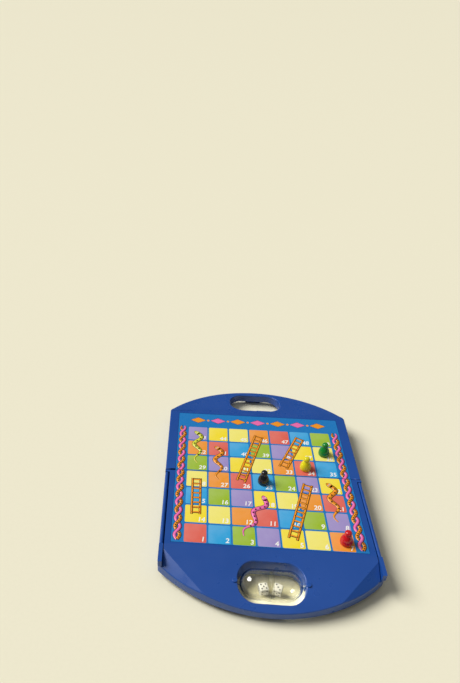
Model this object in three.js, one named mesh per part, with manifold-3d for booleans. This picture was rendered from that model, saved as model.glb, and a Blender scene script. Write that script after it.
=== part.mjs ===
// Folding travel board for snakes and ladders, with a spinning dice capsule, magnetic pawns
// and two storage doors.
// Millimetres, +Z up. The board lies open with its play face up, X to the right, Y towards the finger slot.
// The fold line is Y = 0 and the floor is Z = 0.

import * as THREE from "three";
import { mergeVertices } from "three/addons/utils/BufferGeometryUtils.js";
import { RoundedBoxGeometry } from "three/addons/geometries/RoundedBoxGeometry.js";
import Module from "manifold-3d";

const wasm = await Module();
wasm.setup();

// Outline of the board
const squarePitch = 22.5; // one printed square with its share of the gap
const panelSquares = 8; // the printed panel is eight squares each way: seven plus the margins
const sideBand = 10.1; // blue band beside the printed panel
const endBand = 10; // blue band between the printed panel and the arched end
const archRise = 47.2; // how far the handle half's arched end stands out
const cornerStep = 3.5; // its arch starts this far in from the side
const capsuleRise = 39; // the capsule half's arch starts later, at the full width
const handleCorner = 6; // radius of the handle half's outer corners
const capsuleCorner = 1; // radius of the capsule half's outer corners
const panelHalf = (squarePitch * panelSquares) / 2;
const halfWidth = panelHalf + sideBand;
const boxLength = panelHalf + endBand;
const halfLength = boxLength + archRise;

// Clearances
const foldGap = 0.25; // each half stops this far short of the fold line
const seatGap = 0.05; // between faces that lie on each other
const edgeGap = 0.3; // round the sheets, the doors and the deck covers
const turnGap = 0.3; // round the hinge knuckles
const pinGap = 0.12; // round the hinge pins and the screws
const bearingGap = 0.2; // round the capsule's pivot pins

// Facets of round forms
const archSegments = 48;
const slotSegments = 12;
const bossSegments = 20;
const holeSegments = 16;
const shankSegments = 12;
const knuckleSegments = 24;
const doorSegments = 12;
const capsuleSegments = 32;
const capsuleSteps = 9;
const pawnSegments = 24;
const dieSegments = 2;
const weldDistance = 1e-4; // corners nearer than this are one corner

// Heights
const knuckleRadius = 2.4; // the knuckles stand on the floor, so this is also the height of the hinge axis
const deckRelief = 0.2; // the deck covers lie this far above the hinge axis, to close without touching
const deckPlate = 2.2;
const storeHeight = 16.5; // clear height of the storage bay
const facePlate = 2.2;
const shellDepth = 13.5; // depth of the top shells' side walls
const closeGap = 0.5; // between the feet of one half and the rim of the other when the board is closed
const hingeHeight = knuckleRadius;
const deckBottom = hingeHeight + deckRelief;
const deckInside = deckBottom + deckPlate;
const plateUnder = deckInside + storeHeight;
const faceTop = plateUnder + facePlate;
const shellBottom = faceTop - shellDepth;
const endBottom = 2 * hingeHeight + closeGap;

// Slope of the arched ends, from a line just past the printed panel down to the tip
const slopeGap = 2; // from the printed panel to the line where the slope starts
const tipFall = 10.9; // the face is this much lower at the tip of the arch
const slopeStart = panelHalf + slopeGap;
const slopeRate = tipFall / (halfLength - slopeStart);

// Wall thicknesses
const sideWall = 3;
const endWall = 2;
const rimWall = 2.2;
const collarWall = 2.2;

// Play sheets on steel sheets
const steelThickness = 0.4;
const sheetThickness = 0.5;
const recessDepth = steelThickness + sheetThickness + 2 * seatGap;

// Slot in each arched end: finger slot in one half, capsule slot in the other
const slotLength = 59;
const slotWidth = 36;
const slotCorner = 16;
const slotBar = 8; // bar left between the slot and the outer edge
const slotCentre = halfLength - slotBar - slotWidth / 2;

// Dice capsule
const capsuleRadius = 13;
const capsuleLength = 55;
const capsuleWall = 1.4;
const capsuleLap = 3; // the two cups overlap by this much, half the wall each
const capsuleLift = 0.7; // the capsule turns this far above the floor
const pivotRadius = 1.5;
const pivotReach = 5; // how far each pivot pin goes into its bearing
const capsuleHeight = capsuleRadius + capsuleLift;

// Bearings of the capsule
const bearingLength = 7;
const bearingWidth = 10;
const bearingSole = 2.7; // depth of the bearing blocks below the pivot pins
const blockOverlap = 2; // the blocks start this far inside the slot's end, until the slot is cut
const mouthOverlap = 4; // the cut for the pivot pin starts this far inside the slot's end
const keeperFlange = 1.2;
const bumpRadius = 2.4; // round bump on the face over each bearing
const bumpHeight = 0.9;

// Dice
const dieSize = 8;
const dieRound = 0.9;
const dieSpacing = 12.5;
const dieTurns = [0.22, -0.35]; // radians about the upright axis

// Storage doors of the capsule half
const doorStart = 4; // from the fold line
const doorLength = 87.5;
const doorThickness = 3.7;
const doorGap = 0.9; // dark line between the face and the door
const doorDrop = 0.3; // the door's rounded top lies this far below the face
const doorStubRadius = 0.8;
const doorStubLength = 2.5;
const gripRadius = 1.1; // groove for a fingertip near the door's lower edge
const gripLength = 18;
const gripOut = 0.3; // the groove's axis lies this far outside the door
const gripRise = 3; // above the inside of the deck cover
const doorAxisX = halfWidth - doorThickness / 2;
const doorAxisZ = faceTop - doorDrop - doorThickness / 2;

// Ears of the capsule half, which carry its doors' outer bands on past the box
const earLength = 3.2; // past the start of the arch
const earDepth = 7; // below the face, which the ears don't slope away from
const lineDepth = 1.4; // depth of the joint line that runs on from the door, inside the ear

// Facets of the capsule half's face, steeper than the slope, inside the ears
const facetAlong = 11; // the facet starts this far before the arch
const facetAcross = 23.6; // a point of its upper edge lies this far in from the side
const facetBeyond = 8.4; // and this far past the start of the arch
const facetDrop = 4.7; // below the slope where the arch starts

// Hinge
const knuckleLength = 2.1;
const knuckleInset = 0.6; // the outer knuckle ends this far in from the side
const pinRadius = 1;

// Closing tab on the handle half and the catch on the capsule half, both also feet
const tabWidth = 18;
const tabThickness = 2.2;
const tabInset = 0.6; // the tab's outer face from the tip of the arch
const beadDepth = 0.4;
const beadHeight = 1.4;
const beadLift = 0.8;
const catchGap = 0.2;

// Screws between the deck covers and the top shells
const screwX = 60;
const screwNear = 8; // from the fold line
const screwFar = 84;
const screwHeadRadius = 2.8;
const screwHeadHeight = 1.6;
const screwShankRadius = 1.3;
const screwShankLength = 10.5;
const bossRadius = 3.4;
const padRadius = 4.6;
const padHeight = 2.6; // above the inside of the deck cover

// Pawns
const pawnRadius = 5.75;
const pawnHeight = 15.8;
const magnetRadius = 2.8;
const magnetHeight = 1.8;
const magnetGap = 0.2;

// Materials
function plastic(colour, roughness) {
  return new THREE.MeshStandardMaterial({ color: colour, roughness, metalness: 0 });
}

function metal(colour, roughness) {
  return new THREE.MeshStandardMaterial({ color: colour, roughness, metalness: 1 });
}

const bluePlastic = plastic(0x2a52a4, 0.35);
const clearPlastic = new THREE.MeshStandardMaterial({
  color: 0xdfe6ea,
  roughness: 0.08,
  metalness: 0,
  transparent: true,
  opacity: 0.35,
});
const playPrint = plastic(0x1b7fc4, 0.4);
const underPrint = plastic(0xe8c83c, 0.4);
const whitePlastic = plastic(0xf2efe6, 0.35);
const steel = metal(0xb8bcc0, 0.35);
const magnetMetal = metal(0x6f7276, 0.4);

// Helpers: solids for cutting and joining, and plain shapes placed by their limits
function toSolid(geometry) {
  const bare = geometry.clone();
  bare.deleteAttribute("normal");
  bare.deleteAttribute("uv");
  const welded = mergeVertices(bare, weldDistance);
  const mesh = new wasm.Mesh({
    numProp: 3,
    vertProperties: new Float32Array(welded.attributes.position.array),
    triVerts: new Uint32Array(welded.index.array),
  });
  return new wasm.Manifold(mesh);
}

function toGeometry(solid) {
  const mesh = solid.getMesh();
  const geometry = new THREE.BufferGeometry();
  geometry.setAttribute("position", new THREE.BufferAttribute(new Float32Array(mesh.vertProperties), 3));
  geometry.setIndex(new THREE.BufferAttribute(new Uint32Array(mesh.triVerts), 1));
  geometry.computeVertexNormals();
  return geometry;
}

function block(x0, x1, y0, y1, z0, z1) {
  const geometry = new THREE.BoxGeometry(x1 - x0, y1 - y0, z1 - z0);
  geometry.translate((x0 + x1) / 2, (y0 + y1) / 2, (z0 + z1) / 2);
  return geometry;
}

function prism(shape, z0, z1, curveSegments) {
  const geometry = new THREE.ExtrudeGeometry(shape, { depth: z1 - z0, bevelEnabled: false, curveSegments });
  geometry.translate(0, 0, z0);
  return geometry;
}

function rodAlongX(radius, x0, x1, y, z, segments) {
  const geometry = new THREE.CylinderGeometry(radius, radius, x1 - x0, segments);
  geometry.rotateZ(Math.PI / 2);
  geometry.translate((x0 + x1) / 2, y, z);
  return geometry;
}

function rodAlongY(radius, y0, y1, x, z, segments) {
  const geometry = new THREE.CylinderGeometry(radius, radius, y1 - y0, segments);
  geometry.translate(x, (y0 + y1) / 2, z);
  return geometry;
}

function rodAlongZ(radius, z0, z1, x, y, segments) {
  const geometry = new THREE.CylinderGeometry(radius, radius, z1 - z0, segments);
  geometry.rotateX(Math.PI / 2);
  geometry.translate(x, y, (z0 + z1) / 2);
  return geometry;
}

function joined(first, ...others) {
  let solid = toSolid(first);
  for (const geometry of others) {
    solid = solid.add(toSolid(geometry));
  }
  return solid;
}

function addMesh(group, name, geometry, material) {
  const mesh = new THREE.Mesh(geometry, material);
  mesh.name = name;
  group.add(mesh);
  return mesh;
}

// Plan shapes of one half, drawn with the fold line at Y = 0 and the arched end towards +Y
const handleEnd = { corner: handleCorner, half: halfWidth - cornerStep, rise: archRise, faceted: false };
const capsuleEnd = { corner: capsuleCorner, half: halfWidth, rise: capsuleRise, faceted: true };

function endShape(end, inset, chordY) {
  const radius = (end.half * end.half + end.rise * end.rise) / (2 * end.rise);
  const centre = halfLength - radius;
  const start = halfLength - end.rise;
  const angle = Math.acos((Math.max(chordY, start) - centre) / (radius - inset));
  const shape = new THREE.Shape();
  if (chordY < start) {
    shape.moveTo(-end.half + inset, chordY);
    shape.lineTo(end.half - inset, chordY);
  }
  shape.absarc(0, centre, radius - inset, Math.PI / 2 - angle, Math.PI / 2 + angle, false);
  shape.closePath();
  return shape;
}

function boxShape(corner) {
  const shape = new THREE.Shape();
  shape.moveTo(-halfWidth, foldGap);
  shape.lineTo(halfWidth, foldGap);
  shape.absarc(halfWidth - corner, boxLength - corner, corner, 0, Math.PI / 2, false);
  shape.absarc(-halfWidth + corner, boxLength - corner, corner, Math.PI / 2, Math.PI, false);
  return shape;
}

function slotShape(grow) {
  const round = Math.min(slotCorner, slotLength / 2, slotWidth / 2);
  const x = slotLength / 2 - round;
  const y = slotWidth / 2 - round;
  const radius = round + grow;
  const shape = new THREE.Shape();
  shape.absarc(x, slotCentre - y, radius, -Math.PI / 2, 0, false);
  shape.absarc(x, slotCentre + y, radius, 0, Math.PI / 2, false);
  shape.absarc(-x, slotCentre + y, radius, Math.PI / 2, Math.PI, false);
  shape.absarc(-x, slotCentre - y, radius, Math.PI, (3 * Math.PI) / 2, false);
  return shape;
}

// The sloped face: its height at a place, and a plane that lies a depth below it and faces down
function faceAt(y) {
  return faceTop - slopeRate * Math.max(0, y - slopeStart);
}

function slopePlane(depth) {
  const normal = new THREE.Vector3(0, -slopeRate, -1).normalize();
  const point = new THREE.Vector3(0, slopeStart, faceTop - depth);
  return new THREE.Plane().setFromNormalAndCoplanarPoint(normal, point);
}

const cavityX = halfWidth - sideWall;
const cavityNear = foldGap + endWall;
const cavityFar = boxLength - endWall;
const screwPlaces = [
  [screwX, screwNear],
  [-screwX, screwNear],
  [screwX, screwFar],
  [-screwX, screwFar],
];
const padTop = deckInside + padHeight;
const bossBottom = padTop + bearingGap;
const headBottom = deckBottom + recessDepth + seatGap;
const headTop = headBottom + screwHeadHeight;
const shankTop = headTop + screwShankLength;
const over = 1; // how far a cutting solid runs past the face that it opens

// The part of a solid that lies below a half's face, or a depth below it
function belowFace(end, depth, solid) {
  const planes = [slopePlane(depth)];
  if (end.faceted) {
    planes.push(facetPlane(1, depth), facetPlane(-1, depth));
  }
  return planes.reduce((rest, plane) => rest.trimByPlane(plane.normal.toArray(), -plane.constant), solid);
}

// Top shell of a half: play face, side walls, arched end with its rim, and a collar round the slot
function topShell(end) {
  let solid = joined(
    prism(boxShape(end.corner), shellBottom, faceTop, holeSegments),
    prism(endShape(end, 0, boxLength - over), shellBottom, faceTop, archSegments),
    prism(endShape(end, 0, boxLength + edgeGap), endBottom, shellBottom + over, archSegments),
  );
  const bay = block(-cavityX, cavityX, cavityNear, cavityFar, shellBottom - over, plateUnder);
  solid = solid.subtract(belowFace(end, facePlate, toSolid(bay)));
  const archPlan = endShape(end, rimWall, boxLength);
  const archBay = toSolid(prism(archPlan, endBottom - over, plateUnder, archSegments));
  const collar = toSolid(prism(slotShape(collarWall), endBottom - 2 * over, faceTop, slotSegments));
  solid = solid.subtract(belowFace(end, facePlate, archBay).subtract(collar));
  for (const [x, y] of screwPlaces) {
    const boss = rodAlongZ(bossRadius, bossBottom, plateUnder + over / 2, x, y, bossSegments);
    solid = solid.add(toSolid(boss));
  }
  for (const [x, y] of screwPlaces) {
    const pilotRadius = screwShankRadius + pinGap;
    const pilot = rodAlongZ(pilotRadius, bossBottom - over, shankTop + bearingGap, x, y, holeSegments);
    solid = solid.subtract(toSolid(pilot));
  }
  const recessLow = faceTop - recessDepth;
  const recess = block(-panelHalf, panelHalf, foldGap - over, panelHalf, recessLow, faceTop + over);
  return belowFace(end, 0, solid.subtract(toSolid(recess)));
}

function cutSlot(solid) {
  return solid.subtract(toSolid(prism(slotShape(0), -over, faceTop + 2 * over, slotSegments)));
}

// Plane of the facet at one corner of the capsule half, a depth below it and facing down
const capsuleArchStart = halfLength - capsuleRise;
const earEnd = capsuleArchStart + earLength;

function facetPlane(side, depth) {
  const startY = capsuleArchStart - facetAlong;
  const farY = capsuleArchStart + facetBeyond;
  const start = new THREE.Vector3(side * (doorInner - doorGap), startY, faceAt(startY) - depth);
  const far = new THREE.Vector3(side * (halfWidth - facetAcross), farY, faceAt(farY) - depth);
  const low = faceAt(capsuleArchStart) - facetDrop - depth;
  const corner = new THREE.Vector3(side * halfWidth, capsuleArchStart, low);
  const plane = new THREE.Plane().setFromCoplanarPoints(start, far, corner);
  return plane.normal.z > 0 ? plane.negate() : plane;
}

// Deck cover that closes a half from below
function deckCover(end) {
  const top = shellBottom - seatGap;
  let solid = toSolid(prism(boxShape(end.corner), deckBottom, top, holeSegments));
  const bay = block(-cavityX, cavityX, cavityNear, cavityFar, deckInside, top + over);
  solid = solid.subtract(toSolid(bay));
  for (const [x, y] of screwPlaces) {
    solid = solid.add(toSolid(rodAlongZ(padRadius, deckInside - over / 2, padTop, x, y, bossSegments)));
  }
  const recessTop = deckBottom + recessDepth;
  const recess = block(-panelHalf, panelHalf, foldGap - over, panelHalf, deckBottom - over, recessTop);
  solid = solid.subtract(toSolid(recess));
  for (const [x, y] of screwPlaces) {
    const headRoom = rodAlongZ(screwHeadRadius + pinGap, deckBottom, headTop + seatGap, x, y, bossSegments);
    const hole = rodAlongZ(screwShankRadius + bearingGap, deckBottom, padTop + over, x, y, holeSegments);
    solid = solid.subtract(toSolid(headRoom)).subtract(toSolid(hole));
  }
  return solid;
}

// Hinge knuckles, counted from the outside: 0 and 2 on the capsule half, 1 on the handle half
const knuckleStep = knuckleLength + turnGap;

function knuckleSpan(number) {
  const outer = halfWidth - knuckleInset - number * knuckleStep;
  return [outer - knuckleLength, outer];
}

function knuckleRod(radius, number, side, grow) {
  const [inner, outer] = knuckleSpan(number);
  const ends = [side * (inner - grow), side * (outer + grow)].sort((a, b) => a - b);
  return rodAlongX(radius, ends[0], ends[1], 0, hingeHeight, knuckleSegments);
}

function withKnuckles(cover, own, others) {
  let solid = cover;
  for (const side of [1, -1]) {
    for (const number of others) {
      solid = solid.subtract(toSolid(knuckleRod(knuckleRadius + turnGap, number, side, turnGap)));
    }
    for (const number of own) {
      solid = solid.add(toSolid(knuckleRod(knuckleRadius, number, side, 0)));
    }
  }
  const reach = halfWidth + over;
  const bore = rodAlongX(pinRadius + pinGap, -reach, reach, 0, hingeHeight, holeSegments);
  return solid.subtract(toSolid(bore));
}

// Storage doors and the openings that they close
const doorEnd = doorStart + doorLength;
const doorInner = halfWidth - doorThickness;

function doorOpening(side, z0, z1) {
  const ends = [side * (doorInner - doorGap), side * (halfWidth + over)].sort((a, b) => a - b);
  return block(ends[0], ends[1], doorStart - edgeGap, doorEnd + edgeGap, z0, z1);
}

function doorSolid(side) {
  const round = doorThickness / 2;
  const shape = new THREE.Shape();
  shape.moveTo(-round, deckInside + edgeGap);
  shape.lineTo(round, deckInside + edgeGap);
  shape.absarc(0, doorAxisZ, round, 0, Math.PI, false);
  const plate = new THREE.ExtrudeGeometry(shape, {
    depth: doorLength,
    bevelEnabled: false,
    curveSegments: doorSegments,
  });
  plate.rotateX(Math.PI / 2);
  plate.translate(side * doorAxisX, doorEnd, 0);
  const stub = rodAlongY(
    doorStubRadius,
    doorStart - doorStubLength,
    doorEnd + doorStubLength,
    side * doorAxisX,
    doorAxisZ,
    holeSegments,
  );
  const gripStart = (doorStart + doorEnd - gripLength) / 2;
  const grip = rodAlongY(
    gripRadius,
    gripStart,
    gripStart + gripLength,
    side * (halfWidth + gripOut),
    deckInside + gripRise,
    holeSegments,
  );
  return joined(plate, stub).subtract(toSolid(grip));
}

function doorStubHoles(side) {
  const length = doorStubLength + edgeGap;
  return rodAlongY(
    doorStubRadius + bearingGap,
    doorStart - length,
    doorEnd + length,
    side * doorAxisX,
    doorAxisZ,
    holeSegments,
  );
}

// Ear that carries the door's outer band on, and the joint line inside it
function ear(side) {
  const ends = [side * doorInner, side * halfWidth].sort((a, b) => a - b);
  return block(ends[0], ends[1], doorEnd + edgeGap, earEnd, faceTop - earDepth, faceTop);
}

function jointLine(side) {
  const ends = [side * (doorInner - doorGap), side * doorInner].sort((a, b) => a - b);
  const cut = toSolid(block(ends[0], ends[1], doorEnd, earEnd, faceTop - shellDepth, faceTop + over));
  return cut.subtract(belowFace(capsuleEnd, lineDepth, cut));
}

// Bearing of the capsule at one end of its slot, with a mouth below for the pivot pin
const bearingBottom = capsuleHeight - pivotRadius - bearingSole;
const bearingStart = slotLength / 2;
const bearingEnd = bearingStart + bearingLength;
const mouthEnd = bearingStart + pivotReach + bearingGap;

function bearingBlock(side) {
  const ends = [side * (bearingStart - blockOverlap), side * bearingEnd].sort((a, b) => a - b);
  const low = slotCentre - bearingWidth / 2;
  const high = slotCentre + bearingWidth / 2;
  return block(ends[0], ends[1], low, high, bearingBottom, faceAt(high) - facePlate / 2);
}

function bearingMouth(side) {
  const half = pivotRadius + bearingGap;
  const ends = [side * (bearingStart - mouthOverlap), side * mouthEnd].sort((a, b) => a - b);
  const way = block(ends[0], ends[1], slotCentre - half, slotCentre + half, endBottom - over, capsuleHeight);
  const seat = rodAlongX(half, ends[0], ends[1], slotCentre, capsuleHeight, knuckleSegments);
  return joined(way, seat);
}

function bearingBump(side) {
  const x = side * (bearingStart + bumpRadius);
  const face = faceAt(slotCentre);
  return rodAlongZ(bumpRadius, face - over, face + bumpHeight, x, slotCentre, bossSegments);
}

// Keeper that closes the mouth of a bearing from below
function keeper(side) {
  const tongueTop = capsuleHeight - pivotRadius - bearingGap;
  const flangeTop = bearingBottom - seatGap;
  const tongue = [side * (bearingStart + edgeGap), side * (mouthEnd - edgeGap)].sort((a, b) => a - b);
  const flangeStart = bearingStart + collarWall + edgeGap;
  const flange = [side * flangeStart, side * bearingEnd].sort((a, b) => a - b);
  const tongueHalf = pivotRadius + bearingGap - pinGap;
  const flangeHalf = bearingWidth / 2;
  return joined(
    block(
      tongue[0],
      tongue[1],
      slotCentre - tongueHalf,
      slotCentre + tongueHalf,
      flangeTop - keeperFlange / 2,
      tongueTop,
    ),
    block(
      flange[0],
      flange[1],
      slotCentre - flangeHalf,
      slotCentre + flangeHalf,
      flangeTop - keeperFlange,
      flangeTop,
    ),
  );
}

// Closing tab of the handle half, down to the floor, with a bead on its inner side
const tabOuter = halfLength - tabInset;
const tabInner = tabOuter - tabThickness;

function closingTab() {
  const half = tabWidth / 2;
  const tab = block(-half, half, tabInner, tabOuter, 0, endBottom + over);
  const bead = block(-half, half, tabInner - beadDepth, tabInner + over, beadLift, beadLift + beadHeight);
  return joined(tab, bead);
}

// Catch of the capsule half, down to the floor, with a bead that the tab's bead passes in closing
function closingCatch() {
  const half = tabWidth / 2;
  const outer = tabInner - 2 * beadDepth - catchGap;
  const inner = outer - tabThickness;
  const post = block(-half, half, inner, outer, 0, faceAt(outer) - facePlate / 2);
  const bead = block(-half, half, outer - over, outer + beadDepth, beadLift, beadLift + beadHeight);
  return joined(post, bead);
}

// Flat sheets: a steel sheet under each printed sheet, on both faces of a half
function sheet(z0, z1) {
  const edge = panelHalf - edgeGap;
  return block(-edge, edge, foldGap, edge, z0, z1);
}

function screw(x, y) {
  const head = rodAlongZ(screwHeadRadius, headBottom, headTop, x, y, holeSegments);
  const shank = rodAlongZ(screwShankRadius, headTop - over / 2, shankTop, x, y, shankSegments);
  return toGeometry(joined(head, shank));
}

function addHalf(group, prefix, shell, cover) {
  addMesh(group, `${prefix}_top_shell`, toGeometry(shell), bluePlastic);
  addMesh(group, `${prefix}_deck_cover`, toGeometry(cover), bluePlastic);
  const steelLow = faceTop - recessDepth + seatGap;
  addMesh(group, `${prefix}_steel_sheet`, sheet(steelLow, steelLow + steelThickness), steel);
  addMesh(group, `${prefix}_play_sheet`, sheet(faceTop - sheetThickness, faceTop), playPrint);
  const underSteelLow = deckBottom + sheetThickness + seatGap;
  addMesh(group, `${prefix}_under_steel`, sheet(underSteelLow, underSteelLow + steelThickness), steel);
  addMesh(group, `${prefix}_under_sheet`, sheet(deckBottom, deckBottom + sheetThickness), underPrint);
  screwPlaces.forEach(([x, y], index) => {
    addMesh(group, `${prefix}_screw_${index + 1}`, screw(x, y), steel);
  });
}

// The whole board
const board = new THREE.Group();
board.name = "snakes_and_ladders_board";

// Handle half, towards +Y
const handleHalf = new THREE.Group();
handleHalf.name = "handle_half";
const handleShell = cutSlot(topShell(handleEnd)).add(closingTab());
const handleCover = withKnuckles(deckCover(handleEnd), [1], [0, 2]);
addHalf(handleHalf, "handle", handleShell, handleCover);
board.add(handleHalf);

// Capsule half, the same plan turned half way round
const capsuleHalf = new THREE.Group();
capsuleHalf.name = "capsule_half";
capsuleHalf.rotation.z = Math.PI;
let capsuleShell = topShell(capsuleEnd).add(closingCatch());
let capsuleCover = withKnuckles(deckCover(capsuleEnd), [0, 2], [1]);
for (const side of [1, -1]) {
  capsuleShell = capsuleShell.add(toSolid(bearingBlock(side)));
  capsuleShell = capsuleShell.subtract(jointLine(side)).add(toSolid(ear(side)));
}
capsuleShell = cutSlot(capsuleShell);
for (const side of [1, -1]) {
  capsuleShell = capsuleShell.subtract(bearingMouth(side));
  capsuleShell = capsuleShell.add(toSolid(bearingBump(side)));
  capsuleShell = capsuleShell.subtract(toSolid(doorOpening(side, shellBottom - over, faceTop + over)));
  capsuleShell = capsuleShell.subtract(toSolid(doorStubHoles(side)));
  capsuleCover = capsuleCover.subtract(toSolid(doorOpening(side, deckInside, shellBottom + over)));
}
addHalf(capsuleHalf, "capsule", capsuleShell, capsuleCover);
addMesh(capsuleHalf, "right_storage_door", toGeometry(doorSolid(-1)), bluePlastic);
addMesh(capsuleHalf, "left_storage_door", toGeometry(doorSolid(1)), bluePlastic);
addMesh(capsuleHalf, "right_pivot_keeper", toGeometry(keeper(-1)), bluePlastic);
addMesh(capsuleHalf, "left_pivot_keeper", toGeometry(keeper(1)), bluePlastic);
board.add(capsuleHalf);

// Hinge pins
const pinOuter = knuckleSpan(0)[1];
const pinInner = knuckleSpan(2)[0];
const rightPin = rodAlongX(pinRadius, pinInner, pinOuter, 0, hingeHeight, holeSegments);
const leftPin = rodAlongX(pinRadius, -pinOuter, -pinInner, 0, hingeHeight, holeSegments);
addMesh(board, "right_hinge_pin", rightPin, steel);
addMesh(board, "left_hinge_pin", leftPin, steel);

// Dice capsule: two clear cups with round ends, joined by a stepped lap at the middle
const capsule = new THREE.Group();
capsule.name = "dice_capsule";
capsule.position.set(0, -slotCentre, capsuleHeight);
const innerRadius = capsuleRadius - capsuleWall;
const lapRadius = capsuleRadius - capsuleWall / 2;
const roundStart = capsuleLength / 2 - capsuleRadius;
const pivotEnd = bearingStart + pivotReach;

function cup(lipInside) {
  const lapHalf = capsuleLap / 2;
  const points = [new THREE.Vector2(0, pivotEnd), new THREE.Vector2(pivotRadius, pivotEnd)];
  const outerFirst = Math.asin(pivotRadius / capsuleRadius);
  for (let i = 0; i <= capsuleSteps; i += 1) {
    const angle = outerFirst + ((Math.PI / 2 - outerFirst) * i) / capsuleSteps;
    const x = roundStart + capsuleRadius * Math.cos(angle);
    points.push(new THREE.Vector2(capsuleRadius * Math.sin(angle), x));
  }
  if (lipInside) {
    points.push(new THREE.Vector2(capsuleRadius, lapHalf));
    points.push(new THREE.Vector2(lapRadius - seatGap, lapHalf));
    points.push(new THREE.Vector2(lapRadius - seatGap, -lapHalf + pinGap));
    points.push(new THREE.Vector2(innerRadius, -lapHalf + pinGap));
  } else {
    points.push(new THREE.Vector2(capsuleRadius, -lapHalf + pinGap));
    points.push(new THREE.Vector2(lapRadius + seatGap, -lapHalf + pinGap));
    points.push(new THREE.Vector2(lapRadius + seatGap, lapHalf));
    points.push(new THREE.Vector2(innerRadius, lapHalf));
  }
  for (let i = capsuleSteps; i >= 0; i -= 1) {
    const angle = ((Math.PI / 2) * i) / capsuleSteps;
    const x = roundStart + innerRadius * Math.cos(angle);
    points.push(new THREE.Vector2(i === 0 ? 0 : innerRadius * Math.sin(angle), x));
  }
  return toGeometry(toSolid(new THREE.LatheGeometry(points.reverse(), capsuleSegments)));
}

const rightCup = addMesh(capsule, "capsule_right_cup", cup(false), clearPlastic);
rightCup.rotation.z = -Math.PI / 2;
const leftCup = addMesh(capsule, "capsule_left_cup", cup(true), clearPlastic);
leftCup.rotation.z = Math.PI / 2;

// Dice, lying on the round inside of the capsule
const dieRest = innerRadius * Math.cos(Math.PI / capsuleSegments) - edgeGap;
dieTurns.forEach((turn, index) => {
  const reach = (dieSize / 2) * (Math.abs(Math.cos(turn)) + Math.abs(Math.sin(turn)));
  const drop = Math.sqrt(dieRest * dieRest - reach * reach) - dieSize / 2;
  const rounded = new RoundedBoxGeometry(dieSize, dieSize, dieSize, dieSegments, dieRound);
  const die = addMesh(capsule, `die_${index + 1}`, toGeometry(toSolid(rounded)), whitePlastic);
  die.position.set((index - 0.5) * dieSpacing, 0, -drop);
  die.rotation.z = turn;
});
board.add(capsule);

// Pawns: outline as shares of the radius and of the height, from the magnet pocket in the base to the head
const pawnOutline = [
  [0.86, 0],
  [0.95, 0.03],
  [1, 0.13],
  [0.97, 0.27],
  [0.85, 0.42],
  [0.67, 0.55],
  [0.51, 0.64],
  [0.45, 0.69],
  [0.5, 0.73],
  [0.57, 0.81],
  [0.54, 0.9],
  [0.4, 0.965],
  [0.2, 0.995],
];

function pawnGeometry() {
  const pocketRadius = magnetRadius + magnetGap;
  const pocketTop = magnetHeight + magnetGap;
  const points = [
    new THREE.Vector2(0, pocketTop),
    new THREE.Vector2(pocketRadius, pocketTop),
    new THREE.Vector2(pocketRadius, 0),
  ];
  for (const [share, rise] of pawnOutline) {
    points.push(new THREE.Vector2(share * pawnRadius, rise * pawnHeight));
  }
  points.push(new THREE.Vector2(0, pawnHeight));
  const geometry = new THREE.LatheGeometry(points, pawnSegments);
  geometry.rotateX(Math.PI / 2);
  return toGeometry(toSolid(geometry));
}

// Each pawn stands on a square, at or near its middle, counted in squares from the middle of the fold line
const pawns = [
  ["red", 0xc8101c, 3.12, -3.53],
  ["black", 0x14161a, 0, -0.5],
  ["yellow", 0xe6d815, 2, 0.5],
  ["green", 0x10842e, 3, 1.5],
];
for (const [name, colour, column, row] of pawns) {
  const pawn = new THREE.Group();
  pawn.name = `${name}_pawn_set`;
  pawn.position.set(column * squarePitch, row * squarePitch, faceTop + seatGap);
  addMesh(pawn, `${name}_pawn`, pawnGeometry(), plastic(colour, 0.3));
  const magnetLow = magnetGap / 2;
  const magnet = rodAlongZ(magnetRadius, magnetLow, magnetLow + magnetHeight, 0, 0, holeSegments);
  addMesh(pawn, `${name}_pawn_magnet`, magnet, magnetMetal);
  board.add(pawn);
}

export default board;
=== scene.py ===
"""Folding travel board for snakes and ladders: the finish of every piece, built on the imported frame.

Metres, +Z up. X runs to the right and Y towards the finger slot, with the fold line at Y = 0.
"""

import math
from functools import partial

import bmesh
import bpy
from bpy.props import FloatProperty, FloatVectorProperty, IntProperty, PointerProperty
from mathutils import Matrix, Vector


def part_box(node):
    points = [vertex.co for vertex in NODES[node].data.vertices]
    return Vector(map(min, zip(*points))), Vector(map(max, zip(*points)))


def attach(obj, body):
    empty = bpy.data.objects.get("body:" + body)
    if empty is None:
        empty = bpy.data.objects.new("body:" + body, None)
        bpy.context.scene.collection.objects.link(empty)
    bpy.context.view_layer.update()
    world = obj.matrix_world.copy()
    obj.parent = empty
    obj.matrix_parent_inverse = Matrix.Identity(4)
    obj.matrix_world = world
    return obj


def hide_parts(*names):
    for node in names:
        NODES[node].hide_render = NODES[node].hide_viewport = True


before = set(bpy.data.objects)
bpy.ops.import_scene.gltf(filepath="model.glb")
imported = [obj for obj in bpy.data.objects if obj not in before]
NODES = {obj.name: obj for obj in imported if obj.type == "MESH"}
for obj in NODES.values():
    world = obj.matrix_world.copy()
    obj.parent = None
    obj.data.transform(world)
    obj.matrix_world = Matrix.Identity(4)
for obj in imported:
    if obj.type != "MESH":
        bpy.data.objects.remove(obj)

bl_info = {
    "name": "Snakes and ladders travel board",
    "version": (1, 0, 0),
    "blender": (4, 5, 0),
    "location": "View3D > Sidebar > Board",
    "description": "Finishes the mouldings, prints, dice capsule and pawns of a folding travel board",
    "category": "Add Mesh",
}

MM = 0.001

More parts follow.
